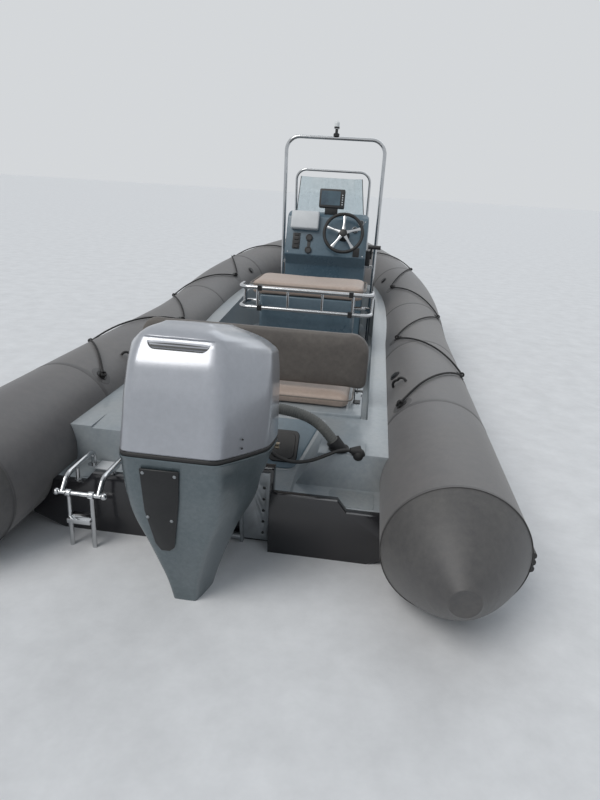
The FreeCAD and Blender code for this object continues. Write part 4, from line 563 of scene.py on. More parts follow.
def repeated(name: str, kind: Repeat, finish: Finish, points: Sequence[tuple[Vector, Vector]],
             body: str, **sizes: float) -> Piece:
    """Set a small part on each of some points and make the result one plain mesh.

    Args:
        name: Name of the piece.
        kind: What the part is.
        finish: Its finish.
        points: Place and way of each part.
        body: Body that it rides.
        sizes: The tree's Radius, Depth and Length.

    Returns:
        The piece, with no modifier left.
    """
    mesh = bpy.data.meshes.new(name + "_points")
    mesh.from_pydata([place for place, _ in points], [], [])
    ways = mesh.attributes.new("way", "FLOAT_VECTOR", "POINT")
    ways.data.foreach_set("vector", [value for _, way in points for value in way])
    holder = link(name, mesh)
    modifier = holder.modifiers.new("parts", "NODES")
    modifier.node_group = repeat_tree(kind, finish)
    for item in modifier.node_group.interface.items_tree:
        if item.in_out == "INPUT" and item.name in sizes:
            modifier[item.identifier] = sizes[item.name]
    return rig.ride(baked(holder), body)


def link(name: str, data: bpy.types.ID) -> Piece:
    """Put new data into the scene as an object at the origin."""
    made = bpy.data.objects.new(name, data)
    bpy.context.scene.collection.objects.link(made)
    return made


def baked(piece: Piece) -> Piece:
    """Turn a piece's modifiers into plain mesh and take them off."""
    graph = bpy.context.evaluated_depsgraph_get()
    mesh = bpy.data.meshes.new_from_object(
        piece.evaluated_get(graph), preserve_all_data_layers=True, depsgraph=graph)
    piece.modifiers.clear()
    piece.data = mesh
    return piece


def piece_of(name: str, verts: Sequence[Vector], faces: Sequence[Sequence[int]], finish: Finish,
             sharp: float = 38.0, turn: bool = True) -> Piece:
    """Make a mesh piece.

    Args:
        name: Name of the piece.
        verts: Its points.
        faces: Its faces.
        finish: Its finish.
        sharp: Angle in degrees above which an edge stays sharp.
        turn: Whether the faces are turned outwards.

    Returns:
        The piece.
    """
    mesh = bpy.data.meshes.new(name)
    mesh.from_pydata([tuple(v) for v in verts], [], [tuple(f) for f in faces])
    work = bmesh.new()
    work.from_mesh(mesh)
    bmesh.ops.remove_doubles(work, verts=work.verts, dist=1e-6)
    if turn:
        bmesh.ops.recalc_face_normals(work, faces=work.faces)
    work.to_mesh(mesh)
    work.free()
    return dress(link(name, mesh), finish, sharp)


def dress(piece: Piece, finish: Finish, sharp: float = 38.0) -> Piece:
    """Give a piece one finish and its shading."""
    piece.data.materials.clear()
    piece.data.materials.append(PAINTS.of(finish))
    piece.data.shade_smooth()
    piece.data.set_sharp_from_angle(angle=radians(sharp))
    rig.slot(piece, finish.slot)
    return piece


def paint_node(node: str, finish: Finish) -> None:
    """Give a CAD node that stays in view a procedural material."""
    holder = frame["nodes"][node]
    if not holder.data.materials:
        holder.data.materials.append(None)
    for index in range(len(holder.data.materials)):
        holder.data.materials[index] = PAINTS.of(finish)


def merged_copy(node: str) -> tuple[bpy.types.Mesh, bmesh.types.BMesh]:
    """A copy of a CAD node's mesh, and its points merged for editing."""
    mesh = frame["nodes"][node].data.copy()
    work = bmesh.new()
    work.from_mesh(mesh)
    bmesh.ops.remove_doubles(work, verts=work.verts, dist=MERGE_WITHIN)
    return mesh, work


def softened(node: str, body: str, finish: Finish, width: float = 0.004, name: str = "",
             steps: int = 2) -> Piece:
    """A copy of a CAD node with its edges rounded, which stands for the node.

    Args:
        node: Name of the CAD node.
        body: Body that it rides.
        finish: Its finish.
        width: Width of the rounding.
        name: Name of the piece.
        steps: Segments of the rounding.

    Returns:
        The piece.
    """
    mesh, work = merged_copy(node)
    bmesh.ops.dissolve_limit(work, angle_limit=radians(1.0), verts=work.verts, edges=work.edges)
    work.to_mesh(mesh)
    work.free()
    piece = link(name or node + "_skin", mesh)
    rounded(piece, width, steps, 32.0)
    dress(baked(piece), finish, 50.0)
    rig.replaces(piece, node)
    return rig.ride(piece, body)


def rounded(piece: Piece, width: float, steps: int, angle: float = 30.0) -> None:
    """Round a piece's edges that are sharper than an angle in degrees."""
    bevel = piece.modifiers.new("edges", "BEVEL")
    bevel.width = width
    bevel.segments = steps
    bevel.limit_method = "ANGLE"
    bevel.angle_limit = radians(angle)


def turns(count: int) -> list[float]:
    """Evenly spaced angles of one full turn."""
    return [2 * pi * index / count for index in range(count)]


def circle(centre: Vector, across: Vector, up: Vector, radius: float, count: int) -> list[Vector]:
    """Points of a circle that lies in the plane of two directions."""
    return [centre + (across * cos(angle) + up * sin(angle)) * radius for angle in turns(count)]


def merged(skins: Sequence[Skin]) -> Skin:
    """Several skins as one."""
    verts: list[Vector] = []
    faces: list[list[int]] = []
    for points, skin in skins:
        faces += [[index + len(verts) for index in face] for face in skin]
        verts += points
    return verts, faces


def loft(rings: Sequence[Sequence[Vector]], ends: bool = True) -> Skin:
    """Skin closed rings of equal count.

    Args:
        rings: The rings, in order.
        ends: Whether the first and last ring are closed with a face.

    Returns:
        Points and faces.
    """
    count = len(rings[0])
    verts = [point for ring in rings for point in ring]
    faces = []
    for row in range(len(rings) - 1):
        for index in range(count):
            after = (index + 1) % count
            low, high = row * count, (row + 1) * count
            faces.append([low + index, low + after, high + after, high + index])
    if ends:
        faces.append(list(range(count))[::-1])
        faces.append([(len(rings) - 1) * count + index for index in range(count)])
    return verts, faces


def frames_along(path: Sequence[Vector]) -> list[tuple[Vector, Vector, Vector]]:
    """Way, side and top of a path at each point, with no twist."""
    ways = []
    for index in range(len(path)):
        before = path[max(0, index - 1)]
        after = path[min(len(path) - 1, index + 1)]
        ways.append((after - before).normalized())
    side = ways[0].cross(UP if abs(ways[0].z) < 0.9 else OUT).normalized()
    found = []
    for way in ways:
        side = (side - way * side.dot(way)).normalized()
        found.append((way, side, side.cross(way)))
    return found


def swept(path: Sequence[Vector], radius: Callable[[float, float], float] | float, sides: int) -> Skin:
    """A round bar along a path.

    Args:
        path: Points of its centreline.
        radius: Its radius, or a function of the length so far and the angle round it.
        sides: Faces round it.

    Returns:
        Points and faces.
    """
    rings = []
    run = 0.0
    last = path[0]
    for point, (_, side, top) in zip(path, frames_along(path)):
        run += (point - last).length
        last = point
        rings.append([point + (side * cos(angle) + top * sin(angle)) * (
            radius(run, angle) if callable(radius) else radius) for angle in turns(sides)])
    return loft(rings)


def nurbs_route(name: str, points: Sequence[tuple[float, float, float]], step: float) -> list[Vector]:
    """Read a smooth route from a NURBS spline through its control points.

    Args:
        name: Name of the route.
        points: Control points.
        step: Spacing of the points that come back.

    Returns:
        Evenly spaced points along the spline.
    """
    curve = bpy.data.curves.new(name, "CURVE")
    curve.dimensions = "3D"
    curve.resolution_u = 32
    spline = curve.splines.new("NURBS")
    spline.points.add(len(points) - 1)
    for place, point in zip(spline.points, points):
        place.co = (*point, 1.0)
    spline.order_u = 3
    spline.use_endpoint_u = True
    holder = link(name, curve)
    graph = bpy.context.evaluated_depsgraph_get()
    mesh = bpy.data.meshes.new_from_object(holder.evaluated_get(graph))
    line = [vertex.co.copy() for vertex in mesh.vertices]
    bpy.data.objects.remove(holder)
    bpy.data.meshes.remove(mesh)
    total = length_of(line)
    count = max(2, round(total / step))
    found = [line[0]]
    run = 0.0
    target = total / count
    for a, b in zip(line, line[1:]):
        length = (b - a).length
        while length > 0 and run + length >= target * len(found) and len(found) < count:
            found.append(a.lerp(b, (target * len(found) - run) / length))
        run += length
    found.append(line[-1])
    return found


def length_of(path: Sequence[Vector]) -> float:
    """Length of a path."""
    return sum((b - a).length for a, b in zip(path, path[1:]))


def arc_through(a: Vector, b: Vector, c: Vector, count: int) -> list[Vector]:
    """Points on the circle through three points, from the first to the last."""
    ab, ac = b - a, c - a
    normal = ab.cross(ac)
    to_centre = normal.cross(ab) * ac.length_squared + ac.cross(normal) * ab.length_squared
    centre = a + to_centre / (2 * normal.length_squared)
    first = a - centre
    axis = normal.normalized()
    total = first.angle(c - centre)
    return [centre + Matrix.Rotation(total * i / count, 3, axis) @ first for i in range(count + 1)]


@dataclass
class TubeLine:
    """The line that the buoyancy tubes follow: level run, bend up the sheer, long curve, bow curve."""

    radius: float = 0.270
    offset: float = 0.980
    height: float = 0.294
    level: float = 2.300
    rise_length: float = 1.0
    rise: float = radians(7.5)
    shoulder: float = 4.531
    turn: float = radians(30)
    cone_seam: float = -0.285
    cone_length: float = 0.285
    tip: float = 0.058
    bulge: float = 0.008

    def __post_init__(self) -> None:
        """Work out the bends."""
        self.rise_radius = self.rise_length / sin(self.rise)
        self.bow = (self.offset - self.shoulder * (1 - cos(self.turn))) / cos(self.turn)
        self.up = Vector((0, -sin(self.rise), cos(self.rise)))
        self.ahead = Vector((0, cos(self.rise), sin(self.rise)))
        self.bend_end = self.level + self.rise_radius * self.rise
        self.turn_end = self.bend_end + self.shoulder * self.turn
        self.end = self.turn_end + self.bow * (pi / 2 - self.turn)

    def frame(self, run: float) -> tuple[Vector, Vector, Vector]:
        """Centre, outboard direction and upward direction of the starboard tube.

        Args:
            run: Length along the tube from the origin's station.

        Returns:
            The three vectors.
        """
        if run <= self.level:
            return Vector((self.offset, run, self.height)), OUT.copy(), UP.copy()
        if run <= self.bend_end:
            angle = (run - self.level) / self.rise_radius
            up = Vector((0, -sin(angle), cos(angle)))
            hub = Vector((self.offset, self.level, self.height + self.rise_radius))
            return hub - up * self.rise_radius, OUT.copy(), up
        start = Vector((self.offset, self.level + self.rise_length,
                        self.height + self.rise_radius * (1 - cos(self.rise))))
        hub = start - OUT * self.shoulder
        if run <= self.turn_end:
            angle = (run - self.bend_end) / self.shoulder
            out = OUT * cos(angle) + self.ahead * sin(angle)
            return hub + out * self.shoulder, out, self.up.copy()
        before = OUT * cos(self.turn) + self.ahead * sin(self.turn)
        bow_hub = hub + before * (self.shoulder - self.bow)
        angle = self.turn + (run - self.turn_end) / self.bow
        out = OUT * cos(angle) + self.ahead * sin(angle)
        return bow_hub + out * self.bow, out, self.up.copy()

    def at(self, run: float, angle: float, reach: float) -> Vector:
        """A point round the starboard tube: angle 0 is outboard, 90 the top, 180 inboard."""
        centre, out, up = self.frame(run)
        turn = radians(angle)
        return centre + out * (reach * cos(turn)) + up * (reach * sin(turn))

    def ring(self, run: float, reach: float, count: int = 72) -> list[Vector]:
        """A section of the tube."""
        return [self.at(run, 360 * index / count, reach) for index in range(count)]


LINE = TubeLine()


def stations(start: float, end: float, count: int) -> list[float]:
    """Evenly spaced lengths from a start to an end, with both."""
    return [start + (end - start) * index / count for index in range(count + 1)]


def mirrored(points: Sequence[Vector], flip: bool = True) -> list[Vector]:
    """Points on the other side of the centreline, or as they are."""
    return [Vector((-p.x if flip else p.x, p.y, p.z)) for p in points]


@dataclass
class Tubes:
    """The buoyancy tubes with their cone ends, seam tapes, valves and rub strake."""

    sides: int = 72
    bow_steps: int = 24
    cone_steps: int = 22
    nose_ridge: float = 0.0014
    nose_round: float = 0.012
    nose: tuple[Row, ...] = ((0.95, 0.004), (0.86, 0.001), (0.80, 0.003), (0.5, 0.004), (0.2, 0.004))
    cone_tape_half: float = 0.007
    bow_tape_half: float = 0.022
    band_half: float = 0.020
    band_thick: float = 0.0012
    band_edge: float = 0.9
    hair: float = 0.0003
    seams: Row = (0.62, 1.86, 3.12, 4.35)
    step: float = 0.045
    doubler: tuple[Row, ...] = ((0.058, -0.0004), (0.056, 0.0012), (0.030, 0.0014), (0.012, 0.0014))
    strake_half: float = 0.042
    strake_deep: float = 0.014
    ribs: int = 3
    rib: tuple[Row, ...] = ((0.06, 0.45), (0.2, 0.86), (0.36, 1.0), (0.64, 1.0), (0.8, 0.86), (0.94, 0.45))

    def side_rings(self) -> list[list[Vector]]:
        """Rings of the starboard chamber from the cone seam to the bow seam."""
        start, end = LINE.cone_seam, LINE.turn_end
        return [LINE.ring(run, LINE.radius) for run in stations(start, end, round((end - start) / self.step))]

    def cone_rings(self) -> list[list[Vector]]:
        """Rings of the starboard cone, from its nose to the seam."""
        seam, nose = LINE.cone_seam, LINE.cone_seam - LINE.cone_length
        middle = Vector(((LINE.radius + LINE.tip) / 2 + LINE.bulge, (seam + nose) / 2 - LINE.bulge, 0))
        profile = arc_through(Vector((LINE.radius, seam, 0)), middle,
                              Vector((LINE.tip, nose + self.nose_round, 0)), self.cone_steps)
        for step, place in enumerate(profile[-6:-1]):
            place.x += self.nose_ridge * (-1) ** step
        profile += [Vector((LINE.tip * share, nose + drop, 0)) for share, drop in self.nose]
        return [circle(Vector((LINE.offset, place.y, LINE.height)), OUT, UP, place.x, self.sides)
                for place in reversed(profile)]

    def band(self, name: str, run: float, half: float) -> Piece:
        """A tape round both tubes at one station."""
        edge, thick = half * self.band_edge, self.band_thick
        skins = []
        for flip in (False, True):
            rings = [mirrored(LINE.ring(run + along, LINE.radius + reach - self.hair), flip)
                     for along, reach in ((-half, 0.0), (-edge, thick), (edge, thick), (half, 0.0))]
            skins.append(loft(rings + [rings[0]], ends=False))
        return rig.ride(piece_of(name, *merged(skins), SEAM), "boat")

    def build(self) -> None:
        """Build and dress the tubes."""
        for name, flip in (("tube_starboard", False), ("tube_port", True)):
            # The cones take the darker copy of the tube fabric, which is painted shade.
            for part, rings, finish in (("_skin", self.side_rings(), TUBE),
                                        ("_cone", self.cone_rings(), SHADED_CONE_FABRIC)):
                piece = piece_of(name + part, *loft([mirrored(ring, flip) for ring in rings]), finish, 60)
                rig.replaces(piece, name)
                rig.ride(piece, "boat")
        rings = [LINE.ring(run, LINE.radius) for run in stations(LINE.turn_end, LINE.end, self.bow_steps)]
        rings += [mirrored(ring) for ring in rings[-2::-1]]
        bow = piece_of("tube_bow_skin", *loft(rings), TUBE, 60)
        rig.replaces(bow, "tube_bow")
        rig.ride(bow, "boat")
        for index, run in enumerate(self.seams):
            self.band(f"seam_tape_{index}", run, self.band_half)
        self.band("cone_tape", LINE.cone_seam, self.cone_tape_half)
        self.band("bow_tape", LINE.turn_end, self.bow_tape_half)
        self.patches()
        self.strake()
        paint_node("inflation_valves", PLASTIC)
        paint_node("line_eyelets", RUBBER)

    def patches(self) -> None:
        """Thin round doublers under each eyelet, with a bevelled edge."""
        skins = []
        for run, angle in GrabLines.eyelets:
            for flip in (False, True):
                rings = []
                for reach, lift in self.doubler:
                    rings.append(mirrored([LINE.at(
                        run + reach * cos(turn), angle + degrees(reach * sin(turn) / LINE.radius),
                        LINE.radius + lift) for turn in turns(36)], flip))
                skins.append(loft(rings))
        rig.ride(piece_of("eyelet_doublers", *merged(skins), SEAM), "boat")

    def strake(self) -> None:
        """Ribbed strip along the tubes' outer side."""
        inner = LINE.radius + self.hair
        spread = degrees(asin(self.strake_half / (inner + self.strake_deep / 2)))
        span = 2 * spread / self.ribs
        profile = [(-spread, inner)]
        for index in range(self.ribs):
            low = -spread + 2 * spread * index / self.ribs
            profile += [(low + span * share, inner + self.strake_deep * lift) for share, lift in self.rib]
        profile += [(spread, inner)]
        start = LINE.cone_seam
        rings = [[LINE.at(run, angle, reach) for angle, reach in profile]
                 for run in stations(start, LINE.end, round((LINE.end - start) / self.step))]
        rings += [mirrored(ring) for ring in rings[-2::-1]]
        strip = piece_of("rub_strake_strip", *loft(rings), STRAKE, 50)
        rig.replaces(strip, "rub_strake")
        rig.ride(strip, "boat")


def rectangle(left: float, low: float, right: float, high: float) -> list[Pair]:
    """Corners of a rectangle."""
    return [(left, low), (right, low), (right, high), (left, high)]


def plate(name: str, outline: Sequence[Pair], place: Callable[[float, float], Vector], way: Vector,
          thick: float, finish: Finish, corner: float = 0.03) -> Piece:
    """A thin plate of the boat with rounded corners, on a surface.

    Args:
        name: Name of the piece.
        outline: Corners in the surface's own two directions.
        place: Turns a corner into a point of the boat.
        way: The surface's outward direction.
        thick: Thickness of the plate.
        finish: Its finish.
        corner: Radius of its corners.

    Returns:
        The piece.
    """
    flat = [Vector((x, y, 0)) for x, y in outline]
    ring = []
    for before, here, after in zip(flat[-1:] + flat[:-1], flat, flat[1:] + flat[:1]):
        into, out = (here - before).normalized(), (after - here).normalized()
        reach = min(corner, (here - before).length / 2.2, (after - here).length / 2.2)
        for step in range(7):
            share = step / 6
            ring.append((here - into * reach * (1 - share)).lerp(here + out * reach * share, share))
    centre = sum(ring, Vector()) / len(ring)
    rings = []
    for lift, inset in ((-0.001, 0.0), (thick * 0.7, 0.0), (thick, 0.0025), (thick, 0.01)):
        rings.append([place(*(p + (centre - p).normalized() * inset).xy) + way * lift for p in ring])
    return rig.ride(piece_of(name, *loft(rings), finish), "boat")


@dataclass
class Hull:
    """The black hull, the moulded deck with its grip panels, the locker lid and the deck hardware."""

    floor: float = 0.120
    platform: float = 0.235
    panel_thick: float = 0.003
    well_front: tuple[Row, ...] = ((0.31, 0.400, 0.200), (0.425, 0.587, 0.410))

    def build(self) -> None:
        """Build and dress the hull and deck."""
        softened("hull", "boat", HULL, 0.006)
        softened("deck_liner", "boat", LINER, 0.012, "deck_skin", steps=3)
        softened("bow_deck", "boat", LINER, 0.012, steps=3)
        softened("bow_locker_lid", "locker_lid", LINER, 0.003)
        for node in ("bow_locker_hinges", "bow_cleat", "bow_eye"):
            paint_node(node, STEEL)
        self.grip_panels()
        self.well_shade_panel()

    def grip_panels(self) -> None:
        """Raised non-skid panels on the cockpit floor and the stern platforms."""
        spots = {
            "grip_stern": rectangle(-0.56, 1.20, 0.56, 1.80),
            "grip_helm": rectangle(-0.56, 2.34, 0.56, 3.08),
            "grip_port_side": [(-0.57, 3.16), (-0.27, 3.16), (-0.27, 3.85), (-0.50, 3.98)],
            "grip_bow": [(-0.40, 4.02), (0.40, 4.02), (0.44, 4.22), (-0.44, 4.22)],
        }
        for name, outline in spots.items():
            plate(name, outline, lambda x, y: Vector((x, y, self.floor)), UP, self.panel_thick, GRIP)
        for name, side in (("grip_platform_port", -1), ("grip_platform_starboard", 1)):
            plate(name, rectangle(side * 0.49, 0.052, side * 0.69, 0.196),
                  lambda x, y: Vector((x, y, self.platform)), UP, self.panel_thick, GRIP, 0.02)

    def well_shade_panel(self) -> None:
        """Blue-grey sheet laid on the front of the splash well, darker than the deck: painted shade for the shaded
        well front, with a round-cornered inspection hatch.
        """
        (low_half, low_y, low_z), (high_half, high_y, high_z) = self.well_front
        climb = Vector((0, high_y - low_y, high_z - low_z))
        way = OUT.cross(climb.normalized())
        way = way if way.y < 0 else -way

        def on_front(x: float, y: float) -> Vector:
            """A point from its distances along the front."""
            return Vector((x, low_y, low_z)) + climb.normalized() * y

        reach = climb.length
        outline = [(-low_half + 0.012, 0.01), (low_half - 0.012, 0.01), (high_half - 0.02, reach - 0.012),
                   (-high_half + 0.02, reach - 0.012)]
        # Painted shade: a blue-grey sheet over the well front, darker than the deck around it.
        plate("well_front_shade_panel", outline, on_front, way, self.panel_thick, TEAL, 0.04)
        for name, rim, lift in (("inspection_hatch", rectangle(0.165, 0.040, 0.305, 0.205), 0.012),
                                ("inspection_hatch_lid", rectangle(0.180, 0.055, 0.290, 0.190), 0.016)):
            plate(name, rim, on_front, way, lift, DARK_PLASTIC)


@dataclass
class Padding:
    """Makes padded pieces from their CAD solids: remeshed, blown up as cloth, then smoothed."""

    voxel: float = 0.012
    quick_voxel: float = 0.018
    pressure: float = 4.0
    frames: int = 20
    cap: float = 0.014
    shrink: float = 0.006
    reach: float = 0.010

    def blown(self, node: str, name: str, finish: Finish, fill: float, body: str,
              floor: float = -inf) -> Piece:
        """A padded piece that stands for a CAD solid.

        Args:
            node: Name of the CAD node.
            name: Name of the piece.
            finish: Its finish.
            fill: How full it is, for the record.
            body: Body that it rides.
            floor: Height below which no point goes, where the pad rests.

        Returns:
            The piece.
        """
        low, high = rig.box(node)
        mesh, work = merged_copy(node)
        centre = (low + high) / 2
        for vertex in work.verts:
            for axis in range(3):
                half = (high[axis] - low[axis]) / 2
                offset = vertex.co[axis] - centre[axis]
                vertex.co[axis] = centre[axis] + offset * (half - self.shrink) / half
        work.to_mesh(mesh)
        work.free()
        pad = link(name, mesh)
        remesh = pad.modifiers.new("voxels", "REMESH")
        remesh.mode = "VOXEL"
        remesh.voxel_size = self.quick_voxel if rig.quick() else self.voxel
        baked(pad)
        start = [vertex.co.copy() for vertex in pad.data.vertices]
        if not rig.quick():
            self.simulate(pad)
            for vertex, rest in zip(pad.data.vertices, start):
                move = vertex.co - rest
                if move.length > self.cap:
                    vertex.co = rest + move.normalized() * self.cap
        for vertex in pad.data.vertices:
            vertex.co.z = max(vertex.co.z, floor)
            for axis in range(3):
                vertex.co[axis] = min(max(vertex.co[axis], low[axis] - self.reach), high[axis] + self.reach)
        smooth = pad.modifiers.new("smooth", "SMOOTH")
        smooth.iterations = 4
        smooth.factor = 0.5
        fine = pad.modifiers.new("fine", "SUBSURF")
        fine.levels = fine.render_levels = 1
        baked(pad)
        dress(pad, finish, 180)
        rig.replaces(pad, node)
        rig.padded(pad, fill=fill)
        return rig.ride(pad, body)

    def simulate(self, pad: Piece) -> None:
        """Blow the pad up as cloth and keep the result."""
        cloth = pad.modifiers.new("cloth", "CLOTH")
        settings = cloth.settings
        settings.use_pressure = True
        settings.uniform_pressure_force = self.pressure
        settings.effector_weights.gravity = 0
        settings.quality = 5
        scene = bpy.context.scene
        for number in range(1, self.frames + 1):
            scene.frame_set(number)
        baked(pad)
        scene.frame_set(1)


def piping(name: str, node: str, rise: float, radius: float, corner: float = 0.05) -> Piece:
    """Piping round a cushion: a closed rounded rectangle.

    Args:
        name: Name of the piece.
        node: The cushion's CAD node.
        rise: Its height over the cushion's underside.
        radius: Radius of the piping.
        corner: Radius of its corners.

    Returns:
        The piece.
    """
    low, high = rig.box(node)
    ring = []
    for x, y, start in ((high.x - corner, high.y - corner, 0), (low.x + corner, high.y - corner, 90),
                        (low.x + corner, low.y + corner, 180), (high.x - corner, low.y + corner, 270)):
        for step in range(9):
            turn = radians(start + 90 * step / 8)
            ring.append(Vector((x + corner * cos(turn), y + corner * sin(turn), low.z + rise)))
    outwards = [(after - before).cross(UP).normalized()
                for before, after in zip(ring[-1:] + ring[:-1], ring[1:] + ring[:1])]
    rings = [[point + (outward * cos(turn) + UP * sin(turn)) * radius
              for point, outward in zip(ring, outwards)] for turn in turns(8)]
    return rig.ride(piece_of(name, *loft(rings + [rings[0]], ends=False), PIPING, 60), "boat")


@dataclass
class SternBench:
    """Moulded bench box, its cushion, and the folding backrest with its hinges."""

    seat: float = 0.4285
    piping_rise: float = 0.052

    def build(self) -> None:
        """Build and dress the stern bench."""
        softened("stern_bench_box", "boat", LINER, 0.008)
        Padding().blown("stern_bench_cushion", "stern_bench_pad", VINYL, 0.6, "boat", self.seat)
        piping("stern_bench_piping", "stern_bench_cushion", self.piping_rise, 0.0042)
        Padding(cap=0.010).blown("stern_backrest", "stern_backrest_pad", DARK_VINYL, 0.7, "backrest")
        for node in ("backrest_hinge_stands", "backrest_hinge_arms"):
            paint_node(node, PLASTIC)


@dataclass
class HelmSeat:
    """Moulded seat box, its cushion and the steel rail behind it."""

    seat: float = 0.7905
    piping_rise: float = 0.072
    centre: float = 0.150
    clamp_half: float = 0.31
    rail_aft: float = 1.770
    rail_heights: Row = (0.715, 0.850)

    def build(self) -> None:
        """Build and dress the helm seat."""
        softened("helm_seat_box", "boat", TEAL, 0.010)
        Padding(cap=0.012).blown("helm_seat_cushion", "helm_seat_pad", VINYL, 0.65, "boat", self.seat)
        piping("helm_seat_piping", "helm_seat_cushion", self.piping_rise, 0.0045)
        paint_node("helm_seat_rail", STEEL)
        points = [(Vector((self.centre + side * self.clamp_half, self.rail_aft, z)), OUT)
                  for side in (-1, 1) for z in self.rail_heights]
        repeated("seat_rail_clamps", Repeat.BAR, PLASTIC, points, "boat",
                 Radius=0.036, Depth=0.03, Length=0.036)


@dataclass
class Console:
    """Steering console with its instruments, wheel, control, hoops, windscreen and lamp."""

    centre: float = 0.150
    dash_low: Row = (3.100, 0.950)
    dash_top: Row = (3.222, 1.270)
    plotter_foot: Row = (0.168, 3.300, 1.342)
    plotter_lean: float = radians(12)
    plotter_deep: float = 0.050
    screen: Row = (-0.095, 0.022, 0.072, 0.142)
    screen_thick: float = 0.0015
    key_across: float = 0.092
    key_heights: Row = (0.03, 0.05, 0.07, 0.09, 0.11)
    switch_across: float = -0.262
    switch_heights: Row = (1.010, 1.044, 1.078, 1.112)
    switch_lift: float = 0.0105
    badge: Row = (-0.055, -0.03, 0.0, 0.045)
    badge_spot: Row = (0.30, 0.99)
    badge_thick: float = 0.006
    screw_half: float = 0.33
    screw_heights: Row = (0.968, 1.252)
    screw_lift: float = 0.001
    gauges: tuple[Row, ...] = ((0.292, 1.238), (0.244, 1.180))
    bezel: tuple[Row, ...] = ((0.024, 0.006), (0.0265, 0.007), (0.0268, 0.011), (0.0245, 0.0125),
                              (0.0225, 0.0105), (0.0225, 0.0075))
    glass: tuple[Row, ...] = ((0.0222, 0.007), (0.0222, 0.0095), (0.012, 0.0102))
    key_rounds: tuple[Row, ...] = ((-0.149, 1.092), (-0.149, 0.988))
    key_ring: tuple[Row, ...] = ((0.026, 0.013), (0.0295, 0.0135), (0.0295, 0.016), (0.024, 0.018),
                                 (0.020, 0.015))
    wheel_spot: Row = (0.150, 1.128)
    wheel_lift: float = 0.078
    rim_radius: float = 0.165
    rim: float = 0.014
    grips: int = 10
    grip_swell: float = 0.05
    spokes: int = 5
    spoke_shares: Row = (0.0, 0.15, 0.4, 0.7, 0.9, 1.0)
    spoke_half: float = 0.017
    spoke_waist: float = 0.008
    spoke_thick: float = 0.0036
    spoke_lift: float = 0.006
    spoke_dish: float = 0.010
    hub_radius: float = 0.024
    hub: tuple[Row, ...] = ((0.030, 0.042), (0.034, 0.046), (0.036, 0.078), (0.034, 0.086), (0.026, 0.091),
                            (0.012, 0.093))
    light_foot: Row = (0.150, 3.470, 1.943)
    light_base: tuple[Row, ...] = ((0.0255, 0.0), (0.0265, 0.02), (0.0235, 0.024), (0.0125, 0.03),
                                   (0.0125, 0.058), (0.0235, 0.064), (0.0235, 0.078))

    def __post_init__(self) -> None:
        """Work out the dash's slope."""
        run, rise = self.dash_top[0] - self.dash_low[0], self.dash_top[1] - self.dash_low[1]
        self.lean = atan2(run, rise)
        self.way = Vector((0, -cos(self.lean), sin(self.lean)))
        self.climb = Vector((0, sin(self.lean), cos(self.lean)))

    def on_dash(self, across: float, height: float, lift: float = 0.0) -> Vector:
        """A point of the dash.

        Args:
            across: Distance to starboard of the console's centreline.
            height: Height above the waterline.
            lift: Distance off the dash.

        Returns:
            The point.
        """
        y = self.dash_low[0] + (height - self.dash_low[1]) * tan(self.lean)
        return Vector((self.centre + across, y, height)) + self.way * lift

    def disc(self, name: str, across: float, height: float, rings: Sequence[Pair], finish: Finish,
             body: str = "boat") -> Piece:
        """A turned piece standing out of the dash, from radius and lift pairs."""
        hub = self.on_dash(across, height)
        made = [circle(hub + self.way * lift, OUT, self.climb, radius, 40) for radius, lift in rings]
        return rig.ride(piece_of(name, *loft(made), finish, 32), body)

    def build(self) -> None:
        """Build and dress the console."""
        softened("console", "boat", TEAL, 0.014, steps=3)
        for node, finish, width, steps in (
                ("plotter", PLASTIC, 0.005, 2), ("plotter_bracket", PLASTIC, 0.003, 2),
                ("instrument_cover", WHITE, 0.014, 3), ("switch_panel", PLASTIC, 0.002, 2),
                ("throttle_control", PLASTIC, 0.004, 2)):
            softened(node, "boat", finish, width, steps=steps)
        for node, finish in (("gauges", PLASTIC), ("key_switch", PLASTIC), ("helm_boss", PLASTIC),
                             ("console_hoop", STEEL), ("windscreen_hoop", STEEL), ("all_round_light", LENS),
                             ("windscreen", SCREEN)):
            paint_node(node, finish)
        self.instruments()
        self.wheel()
        self.lamp()

    def instruments(self) -> None:
        """Screen, dials, switches and the fittings on the dash."""
        way = Vector((0, -cos(self.plotter_lean), sin(self.plotter_lean)))
        climb = Vector((0, sin(self.plotter_lean), cos(self.plotter_lean)))
        foot = Vector(self.plotter_foot) + way * self.plotter_deep
        plate("plotter_screen", rectangle(*self.screen),
              lambda x, y: foot + OUT * x + climb * y, way, self.screen_thick, DISPLAY, 0.004)
        keys = [(foot + OUT * self.key_across + climb * height + way * self.screen_thick, way)
                for height in self.key_heights]
        repeated("plotter_keys", Repeat.SCREW, WHITE, keys, "boat", Radius=0.006, Depth=0.003)
        for index, spot in enumerate(self.gauges):
            self.disc(f"gauge_bezel_{index}", *spot, self.bezel, STEEL)
            self.disc(f"gauge_glass_{index}", *spot, self.glass, DIAL)
        for index, spot in enumerate(self.key_rounds):
            self.disc(f"key_round_{index}", *spot, self.key_ring, PLASTIC)
        switches = [(self.on_dash(self.switch_across, height, self.switch_lift), self.climb)
                    for height in self.switch_heights]
        repeated("rocker_switches", Repeat.BAR, RUBBER, switches, "boat",
                 Radius=0.010, Depth=0.018, Length=0.036)
        across, height = self.badge_spot
        plate("helm_badge_blank", rectangle(*self.badge),
              lambda x, y: self.on_dash(across + x, height + y), self.way, self.badge_thick, PLASTIC, 0.006)
        screws = [(self.on_dash(x, z, self.screw_lift), self.way)
                  for x in (-self.screw_half, self.screw_half) for z in self.screw_heights]
        repeated("dash_screws", Repeat.SCREW, STEEL, screws, "boat", Radius=0.006, Depth=0.003)

